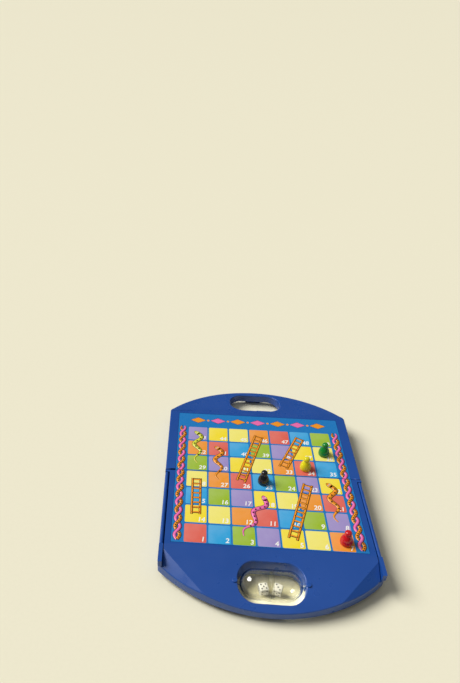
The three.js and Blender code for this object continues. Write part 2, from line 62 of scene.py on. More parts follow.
# Distances below which places count as the same, and angles for rounding and smooth shading
WELD = 0.001 * MM
LEVEL_TOLERANCE = 0.02 * MM
FLAT_ANGLE = math.radians(0.2)
SHARP_ANGLE = math.radians(35)
SMOOTH_ANGLE = math.radians(40)
PAWN_SMOOTH_ANGLE = math.radians(50)

# Sizes and places taken from the frame
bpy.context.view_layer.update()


def middle(node):
    """Middle of a node's box."""
    low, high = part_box(node)
    return (low + high) / 2


HALVES = {"capsule": -1, "handle": 1}
HANDS = {"right": 1, "left": -1}
SCREWS_IN_HALF = 4
PAWN_COLOURS = ("red", "black", "yellow", "green")
FACE_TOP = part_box("handle_play_sheet")[1].z
PANEL_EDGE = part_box("handle_play_sheet")[1].x
FOLD_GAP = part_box("handle_play_sheet")[0].y
UNDER_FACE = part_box("handle_under_sheet")[0].z
SHELL_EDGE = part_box("handle_top_shell")[1].x
SLOT_MIDDLE = -middle("capsule_right_cup").y
GREEN_PAWN_COLUMN = 3
PITCH = middle("green_pawn").x / GREEN_PAWN_COLUMN

# Forms of the mouldings, by which their edges are told apart, and the steps of their roundings
SHELL_TIP = 147.2 * MM
SLOPE_START = 92 * MM
TIP_FALL = 10.9 * MM
RIM_BOTTOM = 5.3 * MM
SHELL_GAP = 0.05 * MM
PANEL_REACH = PANEL_EDGE + 0.6 * MM
CORNER_REACH = SHELL_EDGE - 0.1 * MM
DOOR_REACH = 95.35 * MM
LOWEST_FACE = 12 * MM
LEAST_FACE_AREA = 20 * MM * MM
LEAST_RISE = 0.8
LEAST_FLAT_RISE = 0.5
BUMP_RISE = 0.9 * MM
SHORTEST_DOOR_EDGE = 2 * MM
BROAD_STEPS = 3
FINE_STEPS = 2

# Layout of the play face: seven columns and rows, four rows on the capsule half
COLUMNS = 7
ROWS = 7
ROWS_ON_CAPSULE_HALF = 4
COLUMN_STEP = 6
ROW_STEP = 3
SQUARE_INKS = ("coral", "orange", "cream", "yellow", "lilac", "green", "sky")
LADDERS = ((5, 23), (14, 28), (26, 46), (33, 48))
SNAKES = ((22, 8, "orange"), (18, 3, "pink"), (43, 29, "lime"), (41, 27, "orange"))

# Layout of the underside: two rings of tiles round a bare middle
TILE_COUNT = 10
TILE_RINGS = (0, 2)
TILE_ROW_STEP = 3
TILE_SHARE = 0.9
TILE_MARGIN = 2 * MM
TILE_INKS = ("yellow", "yellow", "coral", "yellow", "sky", "yellow", "green")

# Ink layers lie on each other in this order, each a little above the last
INK_STEP = 0.03 * MM
SQUARE_LAYER = 0
NUMERAL_LAYER = 1
OUTLINE_LAYER = 1
FIGURE_LAYER = 2
SPOT_LAYER = 3

# Printed figures: tapers, spots and the shares and steps of their curves
NUMERAL_BOLDNESS = 0.02
NUMERAL_SLANT = 0.12
NUMERAL_STEPS = 4
SNAKE_TAPER = {"Taper start": 0.45, "Tail share": 0.22}
SNAKE_SPOTS = {"Spacing": 4.6 * MM, "Size": 1.9 * MM}
SPOTTED_SHARE = 0.72
NECK_STEPS = 4
STEPS_IN_WAVE = 24
SWAY_LOSS = 0.35
HEAD_SIDES = 20
HEAD_SHARE = 0.8
HEAD_AHEAD = 1 / 3
HEAD_WIDTH = 0.72
HEAD_NARROWING = 0.16
EYE_AHEAD = 0.45
EYE_ASIDE = 0.3
EYE = 0.75 * MM
PUPIL = 0.4 * MM
DOT_SIDES = 12
BORDER_INKS = ("orange", "pink")
BRAID_MARGIN = 3 * MM
BRAID_STEPS = 160
BRAID_TAPER = {"Taper start": 0.96, "Tail share": 0.5}
BRAID_SPOTS = {"Spacing": 2.6 * MM, "Size": 1.5 * MM}
LOZENGE_HALF = (8.4 * MM, 4.4 * MM)
LOZENGE_OUTLINE = 0.6 * MM
LOZENGE_DOT = 1.4 * MM

# The dice capsule: play in the lap of its cups, and steps of its round ends
LAP_GAP = 0.05 * MM
LAP_END_GAP = 0.12 * MM
PIN_CHAMFER = 0.3 * MM
CAP_STEPS = 24

# The dice: pips by number, the numbers of the two dice on each face, and how each lies
PIP_CORNERS = ((-1, -1), (-1, 1), (1, -1), (1, 1))
PIP_PLACES = {
    1: ((0, 0),),
    2: ((-1, -1), (1, 1)),
    3: ((-1, -1), (0, 0), (1, 1)),
    4: PIP_CORNERS,
    5: (*PIP_CORNERS, (0, 0)),
    6: ((-1, -1), (-1, 0), (-1, 1), (1, -1), (1, 0), (1, 1)),
}
DIE_FACES = (
    ((0, 0, 1), (5, 3)),
    ((0, 0, -1), (2, 4)),
    ((1, 0, 0), (1, 6)),
    ((-1, 0, 0), (6, 1)),
    ((0, 1, 0), (3, 2)),
    ((0, -1, 0), (4, 5)),
)
DIE_TURNS = (0.22, -0.35)
DIE_STEPS = 5
PIP_SPREAD = 0.25
PIP_FLATNESS = 0.12

# Outline of a pawn as shares of its radius and height, from the foot to the top of the head
PAWN_OUTLINE = (
    *((0.86, 0), (0.95, 0.03), (1, 0.13), (0.97, 0.27), (0.85, 0.42), (0.67, 0.55), (0.51, 0.64)),
    *((0.45, 0.69), (0.5, 0.73), (0.57, 0.81), (0.54, 0.9), (0.4, 0.965), (0.2, 0.995), (0, 1)),
)
PAWN_STEPS = 4

# The camera fitted to the photograph, whose frame is 460 by 683 pixels
FRAME_HEIGHT = 683
CAMERA_PLACE = Vector((-76.3, -434.8, 473.4)) * MM
CAMERA_AIM = Vector((-117.5, 238.6, 23.5)) * MM
CAMERA_ROLL = math.radians(0.65)
CAMERA_FOCUS_PX = 588.0
CAMERA_SHIFT_PX = (65.6, -0.4)
SENSOR_WIDTH_MM = 36.0


def linear(code):
    """Linear RGBA of an sRGB hex colour."""
    shares = [int(code[place:place + 2], 16) / 255 for place in (1, 3, 5)]
    return (*[s / 12.92 if s <= 0.04045 else ((s + 0.055) / 1.055) ** 2.4 for s in shares], 1.0)


def toned(colour, factor):
    """The colour made darker, or lighter towards white where the factor is above 1."""
    if factor <= 1:
        return (*[share * factor for share in colour[:3]], 1.0)
    return (*[share + (1 - share) * (factor - 1) for share in colour[:3]], 1.0)


def length(name, description, millimetres):
    """A property that holds a length."""
    return FloatProperty(
        name=name, description=description, default=millimetres * MM, unit="LENGTH", subtype="DISTANCE"
    )


def colour(name, description, code):
    """A property that holds a colour, with its default from an sRGB hex value."""
    return FloatVectorProperty(
        name=name, description=description, default=linear(code), size=4, min=0, max=1, subtype="COLOR"
    )


class BoardSizes(bpy.types.PropertyGroup):
    """Sizes of the printing and of the fine forms."""

    square: length("Square", "Side of a printed square", 20.7)
    square_corner: length("Square corner", "Corner radius of a printed square", 1.3)
    numeral: length("Numeral", "Type size of the numerals", 7.2)
    numeral_inset: length("Numeral inset", "From a square's edges to its numeral", 1.5)
    ladder_width: length("Ladder width", "Between the middles of the rails", 8.0)
    ladder_rail: length("Ladder rail", "Width of a rail", 1.7)
    ladder_rung: length("Ladder rung", "Width of a rung", 1.5)
    rung_spacing: length("Rung spacing", "From rung to rung", 5.6)
    outline: length("Outline", "Width of the dark line round a printed figure", 0.45)
    snake_width: length("Snake width", "Width of a snake's body", 4.2)
    snake_sway: length("Snake sway", "How far a snake's body swings to each side", 4.4)
    braid_width: length("Braid width", "Width of one strand of the border", 2.9)
    braid_sway: length("Braid sway", "How far a strand swings to each side", 2.4)
    braid_wave: length("Braid wave", "Length of one wave of a strand", 19.5)
    tile_corner: length("Tile corner", "Corner radius of a tile of the underside", 1.6)
    edge_round: length("Edge rounding", "Radius of the mouldings' outer edges", 1.0)
    fine_round: length("Fine rounding", "Radius of the mouldings' inner edges", 0.35)
    capsule_wall: length("Capsule wall", "Wall of the dice capsule", 1.4)
    capsule_lap: length("Capsule lap", "Overlap of the two cups", 3.0)
    pivot_radius: length("Pivot radius", "Radius of the capsule's pivot pins", 1.5)
    capsule_length: length("Capsule length", "Length of the capsule without its pins", 55.0)
    die_size: length("Die", "Side of a die", 8.0)
    die_round: length("Die rounding", "Radius of a die's edges", 1.0)
    pip_radius: length("Pip", "Radius of a die's pips", 0.75)
    magnet_pocket: length("Magnet pocket", "Radius of the pocket under a pawn", 3.0)
    magnet_pocket_depth: length("Pocket depth", "Depth of the pocket under a pawn", 2.0)
    turn_segments: IntProperty(name="Turned segments", description="Facets of a turned piece", default=64)


class BoardColours(bpy.types.PropertyGroup):
    """Colours of the mouldings, the inks, the pawns and the stage."""

    shell: colour("Mouldings", "Royal blue of the mouldings", "#104A9C")
    ground: colour("Print ground", "Blue between the squares", "#0A78BF")
    coral: colour("Coral ink", "Coral squares", "#E5604C")
    orange: colour("Orange ink", "Orange squares", "#F59818")
    cream: colour("Cream ink", "Cream squares", "#F9EC6C")
    yellow: colour("Yellow ink", "Yellow squares", "#FBE214")
    lilac: colour("Lilac ink", "Lilac squares", "#A08FC8")
    green: colour("Green ink", "Green squares", "#9EBF1E")
    sky: colour("Sky ink", "Sky blue squares", "#1FA5DE")
    white: colour("White ink", "Numerals", "#FBFAF4")
    outline: colour("Outline ink", "Dark lines", "#2A1A12")
    pink: colour("Pink ink", "Pink strand and figures", "#F06EB0")
    lime: colour("Lime ink", "Lime figures", "#D9DB3C")
    meadow: colour("Meadow ink", "Ground of the underside", "#6DB33A")
    red_pawn: colour("Red pawn", "Red pawn", "#CC101C")
    black_pawn: colour("Black pawn", "Black pawn", "#15171A")
    yellow_pawn: colour("Yellow pawn", "Yellow pawn", "#E8DC14")
    green_pawn: colour("Green pawn", "Green pawn", "#10862F")
    clear: colour("Capsule", "Tint of the clear capsule", "#F2F1E8")
    die: colour("Dice", "Body of the dice", "#F1EEE6")
    pip: colour("Pips", "Paint of the pips", "#1B1B1D")
    zinc: colour("Zinc", "Zinc plating", "#C3C7CA")
    tin: colour("Tinned sheet", "Steel sheets", "#BFC3C6")
    ferrite: colour("Ferrite", "Magnets", "#55585C")
    floor: colour("Floor", "Studio floor", "#F3EDD2")


# Node helpers
def feed(tree, node, inputs):
    """Sets or links the inputs of a node; another node as a source gives its first output."""
    for key, value in inputs.items():
        for source in value if isinstance(value, list) else [value]:
            if isinstance(source, bpy.types.Node):
                source = source.outputs[0]
            if isinstance(source, bpy.types.NodeSocket):
                tree.links.new(source, node.inputs[key])
            else:
                node.inputs[key].default_value = source


def add_node(tree, kind, inputs=None, **settings):
    """Adds a node, sets its properties, and sets or links its inputs."""
    made = tree.nodes.new(kind)
    for name, value in settings.items():
        setattr(made, name, value)
    feed(tree, made, inputs or {})
    return made


def maths(tree, operation, first, second):
    """A sum, product or the like of two numbers."""
    return add_node(tree, "ShaderNodeMath", {0: first, 1: second}, operation=operation)


def new_material(name):
    """An empty node material, with its tree, its surface shader and its Object coordinates."""
    made = bpy.data.materials.new(name)
    made.use_nodes = True
    tree = made.node_tree
    tree.nodes.clear()
    surface = add_node(tree, "ShaderNodeBsdfPrincipled")
    add_node(tree, "ShaderNodeOutputMaterial", {"Surface": surface})
    return made, tree, surface, add_node(tree, "ShaderNodeTexCoord").outputs["Object"]


def noise(tree, place, millimetres, detail=2.0):
    """Soft noise whose features are this many millimetres apart."""
    inputs = {"Vector": place, "Scale": 1 / (millimetres * MM), "Detail": detail}
    return add_node(tree, "ShaderNodeTexNoise", inputs)


def ranged(tree, value, low, high, from_low=0.3, from_high=0.7):
    """A value spread over a range."""
    inputs = {"Value": value, "From Min": from_low, "From Max": from_high, "To Min": low, "To Max": high}
    return add_node(tree, "ShaderNodeMapRange", inputs)


def mixed(tree, share, first, second):
    """Two colours mixed by a share."""
    return add_node(tree, "ShaderNodeMix", {0: share, 6: first, 7: second}, data_type="RGBA").outputs[2]


def mottled(tree, value, tint, low, high):
    """A colour that wanders with a value between two tones of a tint."""
    return mixed(tree, ranged(tree, value, 0, 1), toned(tint, low), toned(tint, high))


def relief(tree, height, strength, millimetres):
    """The normal of a surface with a fine relief of this depth."""
    return add_node(
        tree, "ShaderNodeBump", {"Strength": strength, "Distance": millimetres * MM, "Height": height}
    )


def show_through(tree, surface, share, tint=(1, 1, 1, 1)):
    """Makes a share of the surface let light through, tinted."""
    gone = add_node(tree, "ShaderNodeBsdfTransparent", {"Color": tint})
    shown = add_node(tree, "ShaderNodeMixShader", {0: share, 1: surface, 2: gone})
    output = next(node for node in tree.nodes if node.type == "OUTPUT_MATERIAL")
    feed(tree, output, {"Surface": shown})


# Materials
def moulded_abs(name, tint):
    """Injection-moulded ABS: satin gloss, faint flow clouds, a fine eroded grain, and paler edges that are
    partly rubbed wear and partly a painted highlight.
    """
    made, tree, surface, place = new_material(name)
    body = mottled(tree, noise(tree, place, 45), tint, 0.92, 1.005)
    # The roundings are painted a little paler in patches: partly rubbed wear, partly a painted highlight
    # along the edges
    wear_and_highlight = add_node(tree, "ShaderNodeAttribute", attribute_name="edge_wear").outputs["Fac"]
    patches = ranged(tree, noise(tree, place, 6, 4.0), 0.1, 0.55)
    # The real grain is about 0.1 mm, drawn at 0.7 mm so that it shows
    grain = noise(tree, place, 0.7, 3.0)
    inputs = {
        "Base Color": mixed(tree, maths(tree, "MULTIPLY", wear_and_highlight, patches), body, toned(tint, 1.03)),
        "Roughness": ranged(tree, noise(tree, place, 14), 0.26, 0.36),
        "IOR": 1.54,
        "Normal": relief(tree, grain, 0.12, 0.05),
    }
    feed(tree, surface, inputs)
    return made


def printed_ink(name, tint, airbrushed=False):
    """Offset ink under a gloss film: even colour with faint mottle; squares fade as if airbrushed."""
    made, tree, surface, place = new_material(f"{name} ink under film")
    # Ink mottle is about 0.5 mm, drawn at 1.6 mm so that it shows
    body = mottled(tree, noise(tree, place, 1.6, 3.0), tint, 0.95, 1.01)
    if airbrushed:
        inside = add_node(tree, "ShaderNodeAttribute", attribute_name="tile_place").outputs["Vector"]
        slant = {0: inside, 1: (0.8, -0.6, 0.0)}
        across = add_node(tree, "ShaderNodeVectorMath", slant, operation="DOT_PRODUCT").outputs["Value"]
        blown = maths(tree, "ADD", across, ranged(tree, noise(tree, place, 9), -0.25, 0.25))
        body = mixed(tree, ranged(tree, blown, 0, 1, -0.6, 0.6), toned(tint, 1.09), body)
    film = noise(tree, place, 5)
    inputs = {
        "Base Color": body,
        "Roughness": ranged(tree, film, 0.32, 0.42),
        "IOR": 1.5,
        "Normal": relief(tree, film, 0.06, 0.05),
    }
    feed(tree, surface, inputs)
    return made


def plain_finish(name, tint, grain, tones, gloss, constants, bumps=None, stretch=None):
    """A material that varies in tone and gloss with one noise, and in relief with the same or a finer one.

    The grain is the noise's size in millimetres and its detail; the bumps add a strength and a depth to that.
    """
    made, tree, surface, place = new_material(name)
    if stretch:
        place = add_node(tree, "ShaderNodeMapping", {"Vector": place, "Scale": stretch})
    value = noise(tree, place, *grain)
    inputs = {"Base Color": mottled(tree, value, tint, *tones), **constants}
    if gloss:
        inputs["Roughness"] = ranged(tree, value, *gloss)
    if bumps:
        size, detail, strength, depth = bumps
        inputs["Normal"] = relief(tree, noise(tree, place, size, detail), strength, depth)
    feed(tree, surface, inputs)
    return made, tree, surface


def clear_polystyrene(name, tint):
    """Polished clear polystyrene: glassy, with a faint smoky tint and hardly any haze."""
    glass = {"IOR": 1.59, "Transmission Weight": 1.0}
    made, tree, surface = plain_finish(name, tint, (8, 2.0), (0.97, 1), (0.015, 0.05), glass)
    # Lamps shine through it, as they do through a thin clear wall
    lit = add_node(tree, "ShaderNodeLightPath").outputs["Is Shadow Ray"]
    show_through(tree, surface, lit, toned(tint, 1.5))
    return made


def polished_styrene(name, tint):
    """Solid polystyrene from a polished mould: deep gloss, slight swirl in the colour."""
    ripple = (1.5, 2.0, 0.08, 0.05)
    return plain_finish(name, tint, (4, 3.0), (0.92, 1), (0.08, 0.15), {"IOR": 1.59}, ripple)[0]


def painted_pip(name, tint):
    """Enamel paint dabbed into a die's pips: dark, glossy, a little uneven."""
    return plain_finish(name, tint, (0.6, 2.0), (0.7, 1.05), (0.2, 0.4), {"IOR": 1.5})[0]


def plated_steel(name, tint, millimetres, stretch):
    """Plated or tinned steel: bright metal with fine drawn lines and patchy dullness."""
    lines = (millimetres, 4.0)
    metal = {"Metallic": 1.0}
    bumps = (*lines, 0.1, 0.02)
    return plain_finish(name, tint, lines, (0.85, 1.05), (0.25, 0.42), metal, bumps, stretch)[0]


def sintered_ferrite(name, tint):
    """Sintered ferrite: dull dark grey with a fine pitted grain."""
    pits = (0.4, 4.0)
    return plain_finish(name, tint, pits, (0.75, 1.05), (0.5, 0.7), {"IOR": 1.8}, (*pits, 0.3, 0.05))[0]


def studio_paper(name, tint):
    """Matt studio paper, seen through from below so that a folded half still shows there."""
    matt = {"Roughness": 0.9, "Specular IOR Level": 0.1}
    made, tree, surface = plain_finish(name, tint, (3, 3.0), (0.985, 1), None, matt)
    show_through(tree, surface, add_node(tree, "ShaderNodeNewGeometry").outputs["Backfacing"])
    return made


# Geometry Nodes trees
CORNER_STEPS = 5
SPOT_SIDES = 14
PIP_RINGS = 8
LADDER_RUNG_RANGE = (0.05, 0.97)


def new_tree(name, sizes, materials=("Material",)):
    """An empty tree with named inputs. Returns the tree, the sockets of its inputs and its node adder."""
    tree = bpy.data.node_groups.new(name, "GeometryNodeTree")
    sockets = [("Geometry", "Geometry"), *[(label, "Float") for label in sizes]]
    for label, kind in [*sockets, *[(label, "Material") for label in materials]]:
        tree.interface.new_socket(label, in_out="INPUT", socket_type=f"NodeSocket{kind}")
    tree.interface.new_socket("Geometry", in_out="OUTPUT", socket_type="NodeSocketGeometry")
    return tree, tree.nodes.new("NodeGroupInput").outputs, partial(add_node, tree)


def closed_plate(tree, flat, thickness):
    """A flat face raised to a closed plate."""
    rise = add_node(tree, "ShaderNodeCombineXYZ", {"Z": thickness})
    raising = {"Mesh": flat, "Offset": rise, "Offset Scale": 1.0, "Individual": False}
    raised = add_node(tree, "GeometryNodeExtrudeMesh", raising)
    under = add_node(tree, "GeometryNodeFlipFaces", {"Mesh": flat})
    both = add_node(tree, "GeometryNodeJoinGeometry", {"Geometry": [raised, under]})
    return add_node(tree, "GeometryNodeMergeByDistance", {"Geometry": both, "Distance": WELD})


def close_tree(tree, geometry, material):
    """Ends a tree in realized instances of one material. Returns the tree."""
    real = add_node(tree, "GeometryNodeRealizeInstances", {"Geometry": geometry})
    finished = add_node(tree, "GeometryNodeSetMaterial", {"Geometry": real, "Material": material})
    add_node(tree, "NodeGroupOutput", {"Geometry": finished})
    return tree


def rounded_tiles_tree(ink_names):
    """Tiles with round corners on the points of a mesh, inked by the points' shade numbers."""
    tree, given, add = new_tree("Rounded tiles", ("Size", "Corner", "Thickness"), ink_names)
    square = {"Width": given["Size"], "Height": given["Size"]}
    outline = add("GeometryNodeCurvePrimitiveQuadrilateral", square)
    corners = {"Curve": outline, "Count": CORNER_STEPS, "Radius": given["Corner"]}
    eased = add("GeometryNodeFilletCurve", corners, mode="POLY")
    flat = add("GeometryNodeFillCurve", {"Curve": eased}, mode="NGONS")
    share = {0: add("GeometryNodeInputPosition"), "Scale": maths(tree, "DIVIDE", 1.0, given["Size"])}
    inside = add("ShaderNodeVectorMath", share, operation="SCALE")
    stored = {"Geometry": flat, "Name": "tile_place", "Value": inside}
    marked = add("GeometryNodeStoreNamedAttribute", stored, data_type="FLOAT_VECTOR", domain="POINT")
    tile = closed_plate(tree, marked, given["Thickness"])
    laid = add("GeometryNodeInstanceOnPoints", {"Points": given["Geometry"], "Instance": tile})
    inked = add("GeometryNodeRealizeInstances", {"Geometry": laid})
    shade = add("GeometryNodeInputNamedAttribute", {"Name": "shade"}, data_type="INT")
    for number, label in enumerate(ink_names):
        chosen = add("FunctionNodeCompare", {2: shade, 3: number}, data_type="INT", operation="EQUAL")
        paint = {"Geometry": inked, "Selection": chosen, "Material": given[label]}
        inked = add("GeometryNodeSetMaterial", paint)
    add("NodeGroupOutput", {"Geometry": inked})
    return tree


def swept_band(tree, curve, width, thickness, scale=1.0):
    """A flat band swept along an upright curve."""
    upright = add_node(tree, "GeometryNodeSetCurveNormal", {"Curve": curve}, mode="Z_UP")
    section = {"Width": width, "Height": thickness}
    profile = add_node(tree, "GeometryNodeCurvePrimitiveQuadrilateral", section)
    sweep = {"Curve": upright, "Profile Curve": profile, "Scale": scale, "Fill Caps": True}
    return add_node(tree, "GeometryNodeCurveToMesh", sweep)


def ribbon_tree():
    """A flat ribbon along a path, narrowing over its last part."""
    tree, given, add = new_tree("Printed ribbon", ("Width", "Thickness", "Taper start", "Tail share"))
    path = add("GeometryNodeMeshToCurve", {"Mesh": given["Geometry"]})
    along = add("GeometryNodeSplineParameter")
    scale = ranged(tree, along, 1.0, given["Tail share"], given["Taper start"], 1.0)
    band = swept_band(tree, path, given["Width"], given["Thickness"], scale)
    return close_tree(tree, band, given["Material"])


def even_steps(add, curve, spacing):
    """Points at even steps along a curve."""
    return add("GeometryNodeCurveToPoints", {"Curve": curve, "Length": spacing}, mode="LENGTH")


def spots_tree():
    """Round spots at even steps along a path."""
    tree, given, add = new_tree("Printed spots", ("Spacing", "Size", "Thickness"))
    path = add("GeometryNodeMeshToCurve", {"Mesh": given["Geometry"]})
    steps = even_steps(add, path, given["Spacing"])
    circle = {"Vertices": SPOT_SIDES, "Radius": maths(tree, "MULTIPLY", given["Size"], 0.5)}
    spot = closed_plate(tree, add("GeometryNodeMeshCircle", circle, fill_type="NGON"), given["Thickness"])
    laid = add("GeometryNodeInstanceOnPoints", {"Points": steps, "Instance": spot})
    return close_tree(tree, laid, given["Material"])


def ladder_tree():
    """A ladder along a line: two rails and rungs at even steps."""
    tree, given, add = new_tree("Printed ladder", ("Width", "Rail", "Rung", "Spacing", "Thickness"))
    line = add("GeometryNodeMeshToCurve", {"Mesh": given["Geometry"]})
    upwards = {0: add("GeometryNodeInputTangent"), 1: (0.0, 0.0, 1.0)}
    across = add("ShaderNodeVectorMath", upwards, operation="CROSS_PRODUCT")
    parts = []
    for side in (0.5, -0.5):
        reach = {0: across, "Scale": maths(tree, "MULTIPLY", given["Width"], side)}
        offset = add("ShaderNodeVectorMath", reach, operation="SCALE")
        rail = add("GeometryNodeSetPosition", {"Geometry": line, "Offset": offset})
        parts.append(swept_band(tree, rail, given["Rail"], given["Thickness"]))
    first, last = LADDER_RUNG_RANGE
    trimmed = add("GeometryNodeTrimCurve", {"Curve": line, 2: first, 3: last}, mode="FACTOR")
    steps = even_steps(add, trimmed, given["Spacing"])
    size = {"X": given["Width"], "Y": given["Rung"], "Z": given["Thickness"]}
    rung = add("GeometryNodeMeshCube", {"Size": add("ShaderNodeCombineXYZ", size)})
    turned = add("FunctionNodeAlignRotationToVector", {"Vector": steps.outputs["Tangent"]}, axis="Y")
    laying = {"Points": steps, "Instance": rung, "Rotation": turned}
    parts.append(add("GeometryNodeInstanceOnPoints", laying))
    return close_tree(tree, add("GeometryNodeJoinGeometry", {"Geometry": parts}), given["Material"])


def pips_tree():
    """Shallow domes on points, each facing the way that its point says."""
    tree, given, add = new_tree("Painted pips", ("Radius", "Flatness"))
    dome = {"Segments": SPOT_SIDES, "Rings": PIP_RINGS, "Radius": given["Radius"]}
    facing = add("GeometryNodeInputNamedAttribute", {"Name": "facing"}, data_type="FLOAT_VECTOR")
    laying = {
        "Points": given["Geometry"],
        "Instance": add("GeometryNodeMeshUVSphere", dome),
        "Rotation": add("FunctionNodeAlignRotationToVector", {"Vector": facing}, axis="Z"),
        "Scale": add("ShaderNodeCombineXYZ", {"X": 1.0, "Y": 1.0, "Z": given["Flatness"]}),
    }
    return close_tree(tree, add("GeometryNodeInstanceOnPoints", laying), given["Material"])


# Mesh helpers
def points_mesh(points, linked=False):
    """A mesh of loose points, or of one line of points."""
    mesh = bpy.data.meshes.new("points")
    edges = [(place, place + 1) for place in range(len(points) - 1)] if linked else []
    mesh.from_pydata([tuple(point) for point in points], edges, [])
    return mesh


def finished_form(form, name, *materials):
    """A mesh of a form with its faces outwards. The form is freed."""
    bmesh.ops.recalc_face_normals(form, faces=form.faces)
    return plain_form(form, name, *materials)


def plain_form(form, name, *materials):
    """A mesh of a form as it is. The form is freed."""
    mesh = bpy.data.meshes.new(name)
    form.to_mesh(mesh)
    form.free()
    for material in materials:
        mesh.materials.append(material)
    return mesh


def baked(data, prepare=None):
    """A plain mesh of a mesh or text, after the modifiers that a function adds."""
    holder = bpy.data.objects.new("holder", data)
    bpy.context.scene.collection.objects.link(holder)
    if prepare:
        prepare(holder)
    bpy.context.view_layer.update()
    graph = bpy.context.evaluated_depsgraph_get()
    made = bpy.data.meshes.new_from_object(holder.evaluated_get(graph), depsgraph=graph)
    bpy.data.objects.remove(holder)
    return made


def grown(source, tree, values):
    """The plain mesh that a tree makes from a source mesh."""

    def grow(holder):
        modifier = holder.modifiers.new("Growth", "NODES")
        modifier.node_group = tree
        for item in tree.interface.items_tree:
            if item.in_out == "INPUT" and item.name in values:
                modifier[item.identifier] = values[item.name]

    return baked(source, grow)


def cut_at_fold(mesh, side):
    """The part of a printed mesh that lies on one half, closed where the fold cuts it."""
    form = bmesh.new()
    form.from_mesh(mesh)
    cut = bmesh.ops.bisect_plane(
        form,
        geom=[*form.verts, *form.edges, *form.faces],
        plane_co=(0, side * FOLD_GAP, 0),
        plane_no=(0, side, 0),
        clear_inner=True,
    )
    edges = [item for item in cut["geom_cut"] if isinstance(item, bmesh.types.BMEdge)]
    if edges:
        bmesh.ops.edgeloop_fill(form, edges=edges)
    return plain_form(form, "kept", *mesh.materials)


def joined_mesh(name, parts):
    """One mesh of several, with their materials, doubles merged and faces outwards."""
    form = bmesh.new()
    materials = []
    for mesh in parts:
        first = len(form.faces)
        form.from_mesh(mesh)
        form.faces.ensure_lookup_table()
        for face in form.faces[first:]:
            material = mesh.materials[face.material_index]
            if material not in materials:
                materials.append(material)
            face.material_index = materials.index(material)
    bmesh.ops.remove_doubles(form, verts=form.verts, dist=WELD)
    return finished_form(form, name, *materials)


def turns(count):
    """Even turns round a circle."""
    return [2 * math.pi * step / count for step in range(count)]


def turned_mesh(profile, segments, material):
    """A closed body turned about Z from a profile of (radius, height) that starts and ends on the axis."""
    form = bmesh.new()
    rings = []
    for radius, height in profile:
        if radius == 0:
            rings.append([form.verts.new((0, 0, height))])
            continue
        around = [(radius * math.cos(turn), radius * math.sin(turn), height) for turn in turns(segments)]
        rings.append([form.verts.new(place) for place in around])
    for first, second in zip(rings, rings[1:]):
        for step in range(segments):
            after = (step + 1) % segments
            corners = [first[step % len(first)], first[after % len(first)]]
            corners += [second[after % len(second)], second[step % len(second)]]
            form.faces.new(dict.fromkeys(corners))
    return finished_form(form, "turned", material)


def smoothed(mesh, angle=SMOOTH_ANGLE):
    """Shades a mesh smooth, but not across edges sharper than the angle."""
    mesh.polygons.foreach_set("use_smooth", [True] * len(mesh.polygons))
    mesh.set_sharp_from_angle(angle=angle)
    return mesh


def place_piece(name, mesh, body, slot, *nodes):
    """Adds a finished piece that rides on a body and may stand for CAD nodes."""
    mesh.name = name
    piece = bpy.data.objects.new(name, mesh)
    bpy.context.scene.collection.objects.link(piece)
    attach(piece, body)
    if nodes:
        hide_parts(*nodes)


def dress_node(node, material):
    """Gives a CAD node that stays a finished material."""
    piece = NODES[node]
    piece.data.materials.clear()
    piece.data.materials.append(material)


# Mouldings: copies of the CAD solids with rounded edges
def sharp_edges(form, keep):
    """Sharp convex edges that a test keeps."""
    pairs = [edge for edge in form.edges if len(edge.link_faces) == 2 and edge.is_convex]
    return [edge for edge in pairs if edge.calc_face_angle() > SHARP_ANGLE and keep(edge)]


def rounded(form, edges, radius, segments, limited):
    """Rounds edges, less where limited by short ones. Returns the new faces."""
    made = bmesh.ops.bevel(
        form,
        geom=edges,
        offset=radius,
        offset_type="OFFSET",
        segments=segments,
        profile=0.5,
        affect="EDGES",
        clamp_overlap=limited,
    )
    return made["faces"]


def merge_flats(form):
    """Merges coplanar triangles, but not across lines through the slots, so that no flat has a hole."""
    lines = [(Vector((0, 0, 0)), Vector((1, 0, 0)))]
    lines += [(Vector((0, side * SLOT_MIDDLE, 0)), Vector((0, 1, 0))) for side in HALVES.values()]
    for place, normal in lines:
        parts = [*form.verts, *form.edges, *form.faces]
        bmesh.ops.bisect_plane(form, geom=parts, dist=WELD, plane_co=place, plane_no=normal)

    def on_line(edge):
        gaps = [[abs((vert.co - place).dot(normal)) for vert in edge.verts] for place, normal in lines]
        return any(max(gap) < 2 * WELD for gap in gaps)

    loose = [edge for edge in form.edges if not on_line(edge)]
    bmesh.ops.dissolve_limit(form, angle_limit=FLAT_ANGLE, verts=form.verts, edges=loose)


def even_out(holder):
    """Adds modifiers for even shading and for plain faces."""
    weighting = holder.modifiers.new("Even normals", "WEIGHTED_NORMAL")
    weighting.keep_sharp = True
    splitting = holder.modifiers.new("Plain faces", "TRIANGULATE")
    splitting.min_vertices = 5
    splitting.keep_custom_normals = True


def shade_flats(mesh):
    """Shades a moulding's upper and lower faces flat where they carry no paler rubbed wear and painted
    highlight; its walls and roundings stay smooth.
    """
    rubbed_and_highlit = mesh.attributes["edge_wear"].data
    normals = [corner.vector.copy() for corner in mesh.corner_normals]
    for face in mesh.polygons:
        if abs(face.normal.z) > LEAST_FLAT_RISE and rubbed_and_highlit[face.index].value == 0:
            for corner in face.loop_indices:
                normals[corner] = face.normal.copy()
    mesh.normals_split_custom_set(normals)


